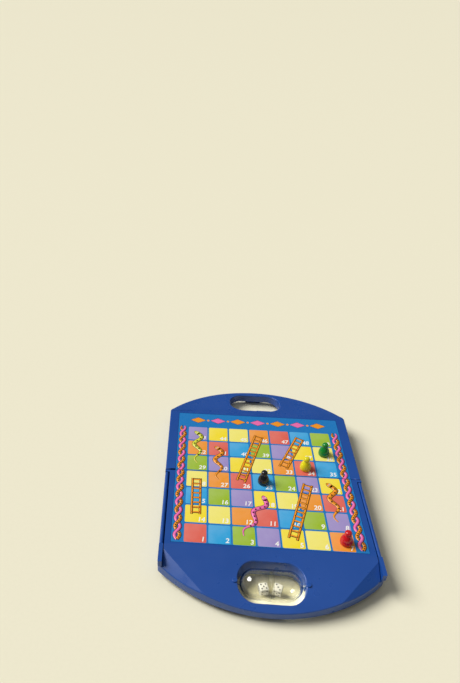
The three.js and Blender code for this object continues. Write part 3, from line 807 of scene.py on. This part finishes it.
def eased_copy(node, material, groups):
    """A copy of a CAD solid with groups of its edges rounded.

    Each group is a test of an edge, a radius, a number of steps and whether short edges limit the radius.
    """
    form = bmesh.new()
    form.from_mesh(NODES[node].data)
    bmesh.ops.remove_doubles(form, verts=form.verts, dist=WELD)
    merge_flats(form)
    # Marks the rounding faces; the moulded finish paints them paler, partly as rubbed wear and partly as a
    # painted edge highlight
    wear_and_highlight = form.faces.layers.float.new("edge_wear")
    for keep, radius, segments, limited in groups:
        edges = sharp_edges(form, keep)
        for face in rounded(form, edges, radius, segments, limited) if edges else ():
            face[wear_and_highlight] = 1.0
    made = baked(smoothed(plain_form(form, node, material)), even_out)
    shade_flats(made)
    return made


def halfway(edge):
    """The middle of an edge."""
    return (edge.verts[0].co + edge.verts[1].co) / 2


def level(*heights):
    """A test for edges that lie at one of some heights."""

    def lies(edge, height):
        return all(abs(vert.co.z - height) < LEVEL_TOLERANCE for vert in edge.verts)

    return lambda edge: any(lies(edge, height) for height in heights)


def face_height(point):
    """Height of the blue face at a place: level round the panel, falling to the tip of each arched end."""
    fall = max(0, abs(point.y) - SLOPE_START) / (SHELL_TIP - SLOPE_START)
    return FACE_TOP - TIP_FALL * fall


def on_face(edge):
    """True for edges of the blue face, with its slopes, facets and ears, and not of small ledges inside."""
    if min(vert.co.z for vert in edge.verts) < LOWEST_FACE:
        return False
    return any(face.normal.z > LEAST_RISE and face.calc_area() > LEAST_FACE_AREA for face in edge.link_faces)


def on_panel(edge, side):
    """True at the rim of the recess for the printed sheets."""
    point = halfway(edge)
    return abs(point.x) < PANEL_REACH and side * point.y < PANEL_REACH


def on_inner_edge(edge, side):
    """True at the rim of the panel and, on the capsule half, from the line along the doors outwards."""
    return on_panel(edge, side) or (side < 0 and abs(halfway(edge).x) > DOOR_REACH)


def upright_corner(edge, side):
    """True for the upright edges of a half's outer corners, beyond the panel."""
    first, second = [vert.co for vert in edge.verts]
    outer = abs(first.x) > CORNER_REACH and side * first.y > PANEL_EDGE
    return outer and (first.xy - second.xy).length < WELD


class Step:
    """What the operators share: each makes its pieces from the sizes and colours that the scene holds."""

    def execute(self, context):
        self.make(context.scene.board_sizes, context.scene.board_colours)
        return {"FINISHED"}


class BOARD_OT_mouldings(Step, bpy.types.Operator):
    """Rounds the edges of the shells, deck covers, doors and keepers and gives them their moulded finish"""

    bl_idname = "board.mouldings"
    bl_label = "Mouldings"

    def make(self, sizes, colours):
        broad = sizes.edge_round
        fine = sizes.fine_round
        plastic = moulded_abs("moulded royal blue ABS", colours.shell)

        def mould(name, body, node, groups):
            place_piece(f"{name}_moulding", eased_copy(node, plastic, groups), body, "blue_shell", node)

        for half, side in HALVES.items():
            panel = partial(on_panel, side=side)
            inner = partial(on_inner_edge, side=side)
            corners = (partial(upright_corner, side=side), broad, BROAD_STEPS, True)
            cover_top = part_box(f"{half}_deck_cover")[1].z
            under = level(UNDER_FACE)
            shell_groups = [
                corners,
                (lambda edge: on_face(edge) and not inner(edge), broad, BROAD_STEPS, False),
                (lambda edge: on_face(edge) and inner(edge), fine / 2, FINE_STEPS, True),
                (level(cover_top + SHELL_GAP, RIM_BOTTOM), fine, FINE_STEPS, True),
                (level(face_height(Vector((0, SLOT_MIDDLE))) + BUMP_RISE), fine, BROAD_STEPS, True),
            ]
            mould(f"{half}_shell", f"{half}_half", f"{half}_top_shell", shell_groups)
            cover_groups = [
                corners,
                (lambda edge: under(edge) and not panel(edge), broad, BROAD_STEPS, True),
                (lambda edge: under(edge) and panel(edge), fine / 2, FINE_STEPS, True),
                (level(cover_top), fine, FINE_STEPS, True),
            ]
            mould(f"{half}_deck", f"{half}_half", f"{half}_deck_cover", cover_groups)
        long_edges = (lambda edge: edge.calc_length() > SHORTEST_DOOR_EDGE, fine, BROAD_STEPS, True)
        all_edges = (lambda edge: True, fine, FINE_STEPS, True)
        for hand in HANDS:
            mould(f"{hand}_door", f"{hand}_door", f"{hand}_storage_door", [long_edges])
            mould(f"{hand}_keeper", "capsule_half", f"{hand}_pivot_keeper", [all_edges])


class BOARD_OT_metal(Step, bpy.types.Operator):
    """Gives the steel sheets, screws, hinge pins and magnets their metal finish"""

    bl_idname = "board.metal"
    bl_label = "Metal parts"

    def make(self, sizes, colours):
        tinned = plated_steel("tinned sheet steel", colours.tin, 1.2, (1.0, 12.0, 1.0))
        zinc = plated_steel("zinc plated steel", colours.zinc, 0.5, (4.0, 1.0, 1.0))
        ferrite = sintered_ferrite("sintered ferrite", colours.ferrite)
        for half in HALVES:
            dress_node(f"{half}_steel_sheet", tinned)
            dress_node(f"{half}_under_steel", tinned)
            for number in range(1, SCREWS_IN_HALF + 1):
                dress_node(f"{half}_screw_{number}", zinc)
        for hand in HANDS:
            dress_node(f"{hand}_hinge_pin", zinc)
        for name in PAWN_COLOURS:
            dress_node(f"{name}_pawn_magnet", ferrite)


# The printed faces
def square_place(number):
    """Middle of a numbered square; the numbers run to and fro from the lower left corner."""
    row, step = divmod(number - 1, COLUMNS)
    column = step if row % 2 == 0 else COLUMNS - 1 - step
    x = (column - (COLUMNS - 1) / 2) * PITCH
    y = (row - ROWS_ON_CAPSULE_HALF + 0.5) * PITCH
    return Vector((x, y, 0))


def layer(number):
    """Height of the underside of an ink layer on the play face."""
    return FACE_TOP + number * INK_STEP


def half_of(y):
    """Name of the half that a place belongs to."""
    return "handle" if y > 0 else "capsule"


def outward(mesh):
    """Turns the faces of closed shells outwards."""
    form = bmesh.new()
    form.from_mesh(mesh)
    bmesh.ops.recalc_face_normals(form, faces=form.faces)
    form.to_mesh(mesh)
    form.free()
    return mesh


def print_tiles(name, sheet, ground, places, size, corner, inks):
    """Prints tiles over the ground ink of the two sheets of a face. Places come with the inks' numbers."""
    labels = [f"Ink {number}" for number in range(len(inks))]
    tree = rounded_tiles_tree(labels)
    values = {"Size": size, "Corner": corner, "Thickness": INK_STEP, **dict(zip(labels, inks))}
    for half in HALVES:
        dress_node(f"{half}_{sheet}", ground)
        chosen = [(place, shade) for place, shade in places if half_of(place.y) == half]
        mesh = points_mesh([place for place, shade in chosen])
        shades = mesh.attributes.new("shade", "INT", "POINT").data
        shades.foreach_set("value", [shade for place, shade in chosen])
        place_piece(f"{half}_{name}", outward(grown(mesh, tree, values)), f"{half}_half", sheet)


def airbrushed_inks(colours, names, use):
    """An airbrushed ink for each name in a list, which may name a colour more than once."""
    inks = {name: printed_ink(f"{name} {use}", getattr(colours, name), True) for name in dict.fromkeys(names)}
    return [inks[name] for name in names]


class BOARD_OT_squares(Step, bpy.types.Operator):
    """Prints the ground and the coloured squares of the play face"""

    bl_idname = "board.squares"
    bl_label = "Printed squares"

    def make(self, sizes, colours):
        ground = printed_ink("blue ground", colours.ground)
        inks = airbrushed_inks(colours, SQUARE_INKS, "square")
        places = []
        for number in range(1, COLUMNS * ROWS + 1):
            place = square_place(number)
            column = round(place.x / PITCH + (COLUMNS - 1) / 2)
            row = (number - 1) // COLUMNS
            shade = (COLUMN_STEP * column + ROW_STEP * row) % len(SQUARE_INKS)
            places.append((place + Vector((0, 0, layer(SQUARE_LAYER))), shade))
        print_tiles("printed_squares", "play_sheet", ground, places, sizes.square, sizes.square_corner, inks)


def numeral_mesh(text, size, material):
    """A numeral as a thin closed mesh, its lower right corner at the origin."""
    letters = bpy.data.curves.new("numeral", "FONT")
    letters.body = text
    letters.size = size
    letters.extrude = INK_STEP / 2
    letters.offset = NUMERAL_BOLDNESS * size
    letters.shear = NUMERAL_SLANT
    letters.resolution_u = NUMERAL_STEPS
    letters.align_x = "RIGHT"
    mesh = baked(letters)
    mesh.materials.clear()
    mesh.materials.append(material)
    return mesh


class BOARD_OT_numerals(Step, bpy.types.Operator):
    """Prints a numeral at the lower right of each square"""

    bl_idname = "board.numerals"
    bl_label = "Numerals"

    def make(self, sizes, colours):
        white = printed_ink("white numeral", colours.white)
        parts = {half: [] for half in HALVES}
        corner = sizes.square / 2 - sizes.numeral_inset
        inset = Vector((corner, -corner, layer(NUMERAL_LAYER) + INK_STEP / 2))
        for number in range(1, COLUMNS * ROWS + 1):
            place = square_place(number)
            mesh = numeral_mesh(str(number), sizes.numeral, white)
            mesh.transform(Matrix.Translation(place + inset))
            parts[half_of(place.y)].append(mesh)
        for half, meshes in parts.items():
            place_piece(f"{half}_numerals", joined_mesh("numerals", meshes), f"{half}_half", "play_sheet")


def print_figure(name, meshes):
    """Places printed figures, cut at the fold line, on the halves that they lie on."""
    whole = joined_mesh(name, meshes)
    reach = [vert.co.y for vert in whole.vertices]
    for half, side in HALVES.items():
        if side * (max(reach) if side > 0 else min(reach)) < FOLD_GAP:
            continue
        crosses = min(reach) < 0 < max(reach)
        mesh = joined_mesh(name, [cut_at_fold(whole, side)]) if crosses else whole
        place_piece(f"{half}_{name}", mesh, f"{half}_half", "play_sheet")


def ink_line(path, tree, paint, values):
    """The ink that a tree prints along a line of points."""
    return grown(points_mesh(path, linked=True), tree, {**values, "Thickness": INK_STEP, "Material": paint})


def ink_patch(outline, depth, paint):
    """A closed patch of ink over a plan outline, in a numbered layer."""
    form = bmesh.new()
    heights = (layer(depth), layer(depth) + INK_STEP)
    low, high = [[form.verts.new((x, y, z)) for x, y in outline] for z in heights]
    form.faces.new(low[::-1])
    form.faces.new(high)
    for place in range(len(outline)):
        after = (place + 1) % len(outline)
        form.faces.new((low[place], low[after], high[after], high[place]))
    return finished_form(form, "patch", paint)


def disc_outline(place, radius):
    """Plan outline of a small round dot."""
    ways = [(math.cos(turn), math.sin(turn)) for turn in turns(DOT_SIDES)]
    return [(place.x + radius * x, place.y + radius * y) for x, y in ways]


class BOARD_OT_ladders(Step, bpy.types.Operator):
    """Prints the ladders with a dark outline under each"""

    bl_idname = "board.ladders"
    bl_label = "Ladders"

    def make(self, sizes, colours):
        wood = printed_ink("orange ladder", colours.orange)
        dark = printed_ink("dark ladder outline", colours.outline)
        tree = ladder_tree()
        for number, (foot, head) in enumerate(LADDERS, 1):
            start = square_place(foot)
            end = square_place(head)
            meshes = []
            for grow, depth, ink in ((sizes.outline, OUTLINE_LAYER, dark), (0, FIGURE_LAYER, wood)):
                lift = Vector((0, 0, layer(depth) + INK_STEP / 2))
                along = (end - start).normalized() * grow
                values = {
                    "Width": sizes.ladder_width,
                    "Rail": sizes.ladder_rail + 2 * grow,
                    "Rung": sizes.ladder_rung + 2 * grow,
                    "Spacing": sizes.rung_spacing,
                }
                meshes.append(ink_line([start - along + lift, end + along + lift], tree, ink, values))
            print_figure(f"ladder_{number}", meshes)


def snake_path(head, tail, sway, height, share=1.0):
    """A waving line from head to tail, or the first share of it."""
    way = tail - head
    across = Vector((-way.y, way.x, 0)).normalized()
    waves = max(1, round(way.length / PITCH))
    steps = STEPS_IN_WAVE * waves
    points = []
    for step in range(round(steps * share) + 1):
        along = step / steps
        swing = sway * math.sin(2 * math.pi * waves * along) * (1 - SWAY_LOSS * along)
        points.append(head + way * along + across * swing + Vector((0, 0, height)))
    return points


def head_outline(tip, heading, size):
    """Plan outline of a rounded snake's head, wider behind the eyes than at the mouth."""
    across = Vector((-heading.y, heading.x, 0))
    outline = []
    for turn in turns(HEAD_SIDES):
        width = HEAD_WIDTH - HEAD_NARROWING * math.cos(turn)
        spot = tip + heading * (size * math.cos(turn)) + across * (size * width * math.sin(turn))
        outline.append(spot.xy)
    return outline


class BOARD_OT_snakes(Step, bpy.types.Operator):
    """Prints the snakes: waving tapered bodies with spots, a round head and two eyes"""

    bl_idname = "board.snakes"
    bl_label = "Snakes"

    def make(self, sizes, colours):
        thick = sizes.snake_width
        dark = printed_ink("dark snake outline", colours.outline)
        white = printed_ink("white eye", colours.white)
        bands = ribbon_tree()
        spots = spots_tree()
        for number, (start, end, ink_name) in enumerate(SNAKES, 1):
            ink = printed_ink(f"{ink_name} snake {number}", getattr(colours, ink_name))
            head = square_place(start)
            tail = square_place(end)
            meshes = []
            for grow, depth, paint in ((sizes.outline, OUTLINE_LAYER, dark), (0, FIGURE_LAYER, ink)):
                path = snake_path(head, tail, sizes.snake_sway, layer(depth) + INK_STEP / 2)
                meshes.append(ink_line(path, bands, paint, {**SNAKE_TAPER, "Width": thick + 2 * grow}))
                heading = (path[0] - path[1]).normalized()
                front = head + heading * thick * HEAD_AHEAD
                outline = head_outline(front, heading, HEAD_SHARE * thick + grow)
                meshes.append(ink_patch(outline, depth, paint))
            path = snake_path(head, tail, sizes.snake_sway, layer(SPOT_LAYER), SPOTTED_SHARE)[NECK_STEPS:]
            meshes.append(ink_line(path, spots, dark, SNAKE_SPOTS))
            across = Vector((-heading.y, heading.x, 0))
            for side in (1, -1):
                eye = head + heading * thick * EYE_AHEAD + across * side * thick * EYE_ASIDE
                for radius, paint, depth in ((EYE, white, SPOT_LAYER), (PUPIL, dark, SPOT_LAYER + 1)):
                    meshes.append(ink_patch(disc_outline(eye, radius), depth, paint))
            print_figure(f"snake_{number}", meshes)


class BOARD_OT_border(Step, bpy.types.Operator):
    """Prints the two-strand braid down both margins and a row of lozenges along the upper one"""

    bl_idname = "board.border"
    bl_label = "Border"

    def make(self, sizes, colours):
        dark = printed_ink("dark border", colours.outline)
        inks = {name: printed_ink(f"{name} border", getattr(colours, name)) for name in BORDER_INKS}
        bands = ribbon_tree()
        spots = spots_tree()
        low = BRAID_MARGIN - PANEL_EDGE
        high = (ROWS - ROWS_ON_CAPSULE_HALF) * PITCH
        middle_x = (COLUMNS / 2 * PITCH + PANEL_EDGE) / 2
        for hand, side in HANDS.items():
            meshes = []
            for strand, name in enumerate(BORDER_INKS):
                for lift, grow, ink in ((0, sizes.outline, dark), (1, 0, inks[name])):
                    path = []
                    for step in range(BRAID_STEPS + 1):
                        y = low + (high - low) * step / BRAID_STEPS
                        turn = 2 * math.pi * (y - low) / sizes.braid_wave + math.pi * strand
                        x = side * middle_x + sizes.braid_sway * math.sin(turn)
                        path.append((x, y, layer(FIGURE_LAYER + lift) + math.cos(turn) * INK_STEP))
                    width = sizes.braid_width + 2 * grow
                    meshes.append(ink_line(path, bands, ink, {**BRAID_TAPER, "Width": width}))
                if name == "orange":
                    ticks = [(x, y, z + INK_STEP / 2) for x, y, z in path]
                    meshes.append(ink_line(ticks, spots, dark, BRAID_SPOTS))
            print_figure(f"{hand}_braid", meshes)
        meshes = []
        row_y = (high + PANEL_EDGE) / 2
        for step in range(COLUMNS):
            x = (step - (COLUMNS - 1) / 2) * PITCH
            ink = inks[BORDER_INKS[step % 2]]
            for grow, depth, paint in ((LOZENGE_OUTLINE, SQUARE_LAYER, dark), (0, NUMERAL_LAYER, ink)):
                wide, tall = [half + grow for half in LOZENGE_HALF]
                outline = [(x - wide, row_y), (x, row_y - tall), (x + wide, row_y), (x, row_y + tall)]
                meshes.append(ink_patch(outline, depth, paint))
            if step:
                outline = disc_outline(Vector((x - PITCH / 2, row_y, 0)), LOZENGE_DOT)
                meshes.append(ink_patch(outline, SQUARE_LAYER, inks["orange"]))
        print_figure("upper_lozenges", meshes)


class BOARD_OT_underside(Step, bpy.types.Operator):
    """Prints two rings of plain tiles on the underside sheets"""

    bl_idname = "board.underside"
    bl_label = "Underside track"

    def make(self, sizes, colours):
        corner = sizes.tile_corner
        ground = printed_ink("meadow green", colours.meadow)
        inks = airbrushed_inks(colours, TILE_INKS, "tile")
        step = 2 * (PANEL_EDGE - TILE_MARGIN) / TILE_COUNT
        last = TILE_COUNT - 1
        places = []
        for column in range(TILE_COUNT):
            for row in range(TILE_COUNT):
                x, y = [(place - last / 2) * step for place in (column, row)]
                if min(column, row, last - column, last - row) in TILE_RINGS:
                    shade = (column + TILE_ROW_STEP * row) % len(TILE_INKS)
                    places.append((Vector((x, y, UNDER_FACE - INK_STEP)), shade))
        print_tiles("track_tiles", "under_sheet", ground, places, TILE_SHARE * step, corner, inks)


# Loose pieces
class BOARD_OT_capsule(Step, bpy.types.Operator):
    """Turns the two clear cups of the dice capsule"""

    bl_idname = "board.capsule"
    bl_label = "Dice capsule"

    def make(self, sizes, colours):
        clear = clear_polystyrene("polished clear polystyrene", colours.clear)
        low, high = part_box("capsule_right_cup")
        centre = (low + high) / 2
        radius = (high.z - low.z) / 2
        pin = sizes.pivot_radius
        inner = radius - sizes.capsule_wall
        lap = radius - sizes.capsule_wall / 2
        round_start = sizes.capsule_length / 2 - radius
        reach = sizes.capsule_lap / 2 - LAP_END_GAP
        first = math.asin(pin / radius)
        for hand, side in HANDS.items():
            profile = [(0, high.x), (pin - PIN_CHAMFER, high.x), (pin, high.x - PIN_CHAMFER)]
            for step in range(CAP_STEPS + 1):
                turn = first + (math.pi / 2 - first) * step / CAP_STEPS
                profile.append((radius * math.sin(turn), round_start + radius * math.cos(turn)))
            # The right cup laps over the left one
            seat = lap + side * LAP_GAP
            short = -side * reach
            profile += [(radius, short), (seat, short), (seat, -short), (inner, -short)]
            for step in range(CAP_STEPS, -1, -1):
                turn = math.pi / 2 * step / CAP_STEPS
                profile.append((inner * math.sin(turn) if step else 0, round_start + inner * math.cos(turn)))
            mesh = turned_mesh(profile, sizes.turn_segments, clear)
            turn = Matrix.Rotation(side * math.pi / 2, 4, "Y")
            mesh.transform(Matrix.Translation((0, centre.y, centre.z)) @ turn)
            node = f"capsule_{hand}_cup"
            place_piece(f"{hand}_clear_cup", smoothed(mesh), "dice_capsule", "clear_capsule", node)


class BOARD_OT_dice(Step, bpy.types.Operator):
    """Makes the two rounded dice and paints their pips"""

    bl_idname = "board.dice"
    bl_label = "Dice"

    def make(self, sizes, colours):
        ivory = polished_styrene("moulded white polystyrene", colours.die)
        paint = painted_pip("black pip enamel", colours.pip)
        tree = pips_tree()
        spread = PIP_SPREAD * sizes.die_size
        for index, turn in enumerate(DIE_TURNS):
            form = bmesh.new()
            bmesh.ops.create_cube(form, size=sizes.die_size)
            rounded(form, form.edges[:], sizes.die_round, DIE_STEPS, False)
            body = plain_form(form, "die", ivory)
            points = []
            facings = []
            for direction, counts in DIE_FACES:
                normal = Vector(direction)
                across = Vector((normal.y, normal.z, normal.x))
                other = normal.cross(across)
                for u, v in PIP_PLACES[counts[index]]:
                    points.append(normal * sizes.die_size / 2 + across * u * spread + other * v * spread)
                    facings += direction
            spots = points_mesh(points)
            spots.attributes.new("facing", "FLOAT_VECTOR", "POINT").data.foreach_set("vector", facings)
            values = {"Radius": sizes.pip_radius, "Flatness": PIP_FLATNESS, "Material": paint}
            mesh = joined_mesh("die", [body, grown(spots, tree, values)])
            node = f"die_{index + 1}"
            mesh.transform(Matrix.Translation(middle(node)) @ Matrix.Rotation(turn, 4, "Z"))
            place_piece(f"{node}_moulding", smoothed(mesh), node, "dice", node)


def flowing(points, steps):
    """A smooth line through points, with a few steps between each two."""
    line = []
    for place in range(len(points) - 1):
        before = Vector(points[max(place - 1, 0)])
        first = Vector(points[place])
        second = Vector(points[place + 1])
        after = Vector(points[min(place + 2, len(points) - 1)])
        for step in range(steps):
            t = step / steps
            bend = (2 * before - 5 * first + 4 * second - after) * t * t
            twist = (3 * first - before - 3 * second + after) * t * t * t
            line.append((2 * first + (second - before) * t + bend + twist) / 2)
    return line


class BOARD_OT_pawns(Step, bpy.types.Operator):
    """Turns the four pawns with a pocket for the magnet"""

    bl_idname = "board.pawns"
    bl_label = "Pawns"

    def make(self, sizes, colours):
        pocket = sizes.magnet_pocket
        depth = sizes.magnet_pocket_depth
        for name in PAWN_COLOURS:
            node = f"{name}_pawn"
            low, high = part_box(node)
            radius = (high.x - low.x) / 2
            height = high.z - low.z
            gloss = polished_styrene(f"{name} polished polystyrene", getattr(colours, node))
            profile = [(0, depth), (pocket, depth), (pocket, 0)]
            profile += [(share.x * radius, share.y * height) for share in flowing(PAWN_OUTLINE, PAWN_STEPS)]
            mesh = turned_mesh([*profile, (0, height)], sizes.turn_segments, gloss)
            centre = middle(node)
            mesh.transform(Matrix.Translation((centre.x, centre.y, low.z)))
            place_piece(f"{name}_pawn_moulding", smoothed(mesh, PAWN_SMOOTH_ANGLE), node, node, node)


# Stage
FLOOR_RADIUS = 30.0
FLOOR_DROP = 0.1 * MM
FLOOR_SIDES = 96
SUN_PLACE = Vector((-0.68, 0.16, 0.72))
SUN_STRENGTH = 3.2
SUN_SPREAD = math.radians(34)
HORIZON_LIGHT = 0.1
OVERHEAD_LIGHT = 0.42
OVERHEAD_GATHER = 3.0
NEAREST_SEEN = 0.01


class BOARD_OT_stage(Step, bpy.types.Operator):
    """Sets up the floor, the soft light and the camera"""

    bl_idname = "board.stage"
    bl_label = "Stage"

    def make(self, sizes, colours):
        scene = bpy.context.scene
        form = bmesh.new()
        bmesh.ops.create_circle(form, cap_ends=True, segments=FLOOR_SIDES, radius=FLOOR_RADIUS)
        mesh = finished_form(form, "floor", studio_paper("matt studio paper", colours.floor))
        mesh.transform(Matrix.Translation((0, 0, -FLOOR_DROP)))
        if mesh.polygons[0].normal.z < 0:
            mesh.flip_normals()
        floor = bpy.data.objects.new("floor", mesh)
        scene.collection.objects.link(floor)

        world = bpy.data.worlds.new("studio")
        world.use_nodes = True
        tree = world.node_tree
        tree.nodes.clear()
        # Light that gathers overhead, as under a broad ceiling softbox
        way = add_node(tree, "ShaderNodeTexCoord").outputs["Generated"]
        rise = add_node(tree, "ShaderNodeSeparateXYZ", {"Vector": way}).outputs["Z"]
        gathered = maths(tree, "POWER", maths(tree, "MAXIMUM", rise, 0.0), OVERHEAD_GATHER)
        strength = ranged(tree, gathered, HORIZON_LIGHT, OVERHEAD_LIGHT, 0.0, 1.0)
        light = add_node(tree, "ShaderNodeBackground", {"Color": (1, 1, 1, 1), "Strength": strength})
        add_node(tree, "ShaderNodeOutputWorld", {"Surface": light})
        scene.world = world

        lamp = bpy.data.lights.new("soft sun", "SUN")
        lamp.energy = SUN_STRENGTH
        lamp.angle = SUN_SPREAD
        sun = bpy.data.objects.new("soft sun", lamp)
        sun.rotation_euler = (-SUN_PLACE).to_track_quat("-Z", "Y").to_euler()
        scene.collection.objects.link(sun)

        forward = (CAMERA_AIM - CAMERA_PLACE).normalized()
        right = forward.cross(Vector((0, 0, 1))).normalized()
        up = right.cross(forward)
        rolled_right = right * math.cos(CAMERA_ROLL) + up * math.sin(CAMERA_ROLL)
        rolled_up = up * math.cos(CAMERA_ROLL) - right * math.sin(CAMERA_ROLL)
        turn = Matrix((rolled_right, rolled_up, -forward)).transposed().to_4x4()
        lens = bpy.data.cameras.new("camera")
        lens.sensor_width = SENSOR_WIDTH_MM
        lens.lens = CAMERA_FOCUS_PX * SENSOR_WIDTH_MM / FRAME_HEIGHT
        lens.shift_x = CAMERA_SHIFT_PX[0] / FRAME_HEIGHT
        lens.shift_y = CAMERA_SHIFT_PX[1] / FRAME_HEIGHT
        lens.clip_start = NEAREST_SEEN
        lens.clip_end = 2 * FLOOR_RADIUS
        camera = bpy.data.objects.new("camera", lens)
        camera.matrix_world = Matrix.Translation(CAMERA_PLACE) @ turn
        scene.collection.objects.link(camera)
        scene.camera = camera
        scene.view_settings.view_transform = "Standard"


STEPS = (
    BOARD_OT_mouldings,
    BOARD_OT_metal,
    BOARD_OT_squares,
    BOARD_OT_numerals,
    BOARD_OT_ladders,
    BOARD_OT_snakes,
    BOARD_OT_border,
    BOARD_OT_underside,
    BOARD_OT_capsule,
    BOARD_OT_dice,
    BOARD_OT_pawns,
    BOARD_OT_stage,
)


class BOARD_PT_steps(bpy.types.Panel):
    """Lists the steps that finish the board"""

    bl_idname = "BOARD_PT_steps"
    bl_label = "Travel board"
    bl_space_type = "VIEW_3D"
    bl_region_type = "UI"
    bl_category = "Board"

    def draw(self, context):
        column = self.layout.column()
        for step in STEPS:
            column.operator(step.bl_idname)
        for group in (context.scene.board_sizes, context.scene.board_colours):
            box = self.layout.box()
            for name in group.bl_rna.properties.keys():
                if name not in ("rna_type", "name"):
                    box.prop(group, name)


CLASSES = (BoardSizes, BoardColours, *STEPS, BOARD_PT_steps)


def register():
    """Registers the classes and adds the settings to the scene."""
    for item in CLASSES:
        bpy.utils.register_class(item)
    bpy.types.Scene.board_sizes = PointerProperty(type=BoardSizes)
    bpy.types.Scene.board_colours = PointerProperty(type=BoardColours)


def unregister():
    """Removes the settings and the classes."""
    del bpy.types.Scene.board_sizes
    del bpy.types.Scene.board_colours
    for item in reversed(CLASSES):
        bpy.utils.unregister_class(item)


def main():
    """Registers the add-on and runs every step in order."""
    register()
    for step in STEPS:
        family, name = step.bl_idname.split(".")
        getattr(getattr(bpy.ops, family), name)()


if __name__ == "__main__":
    main()
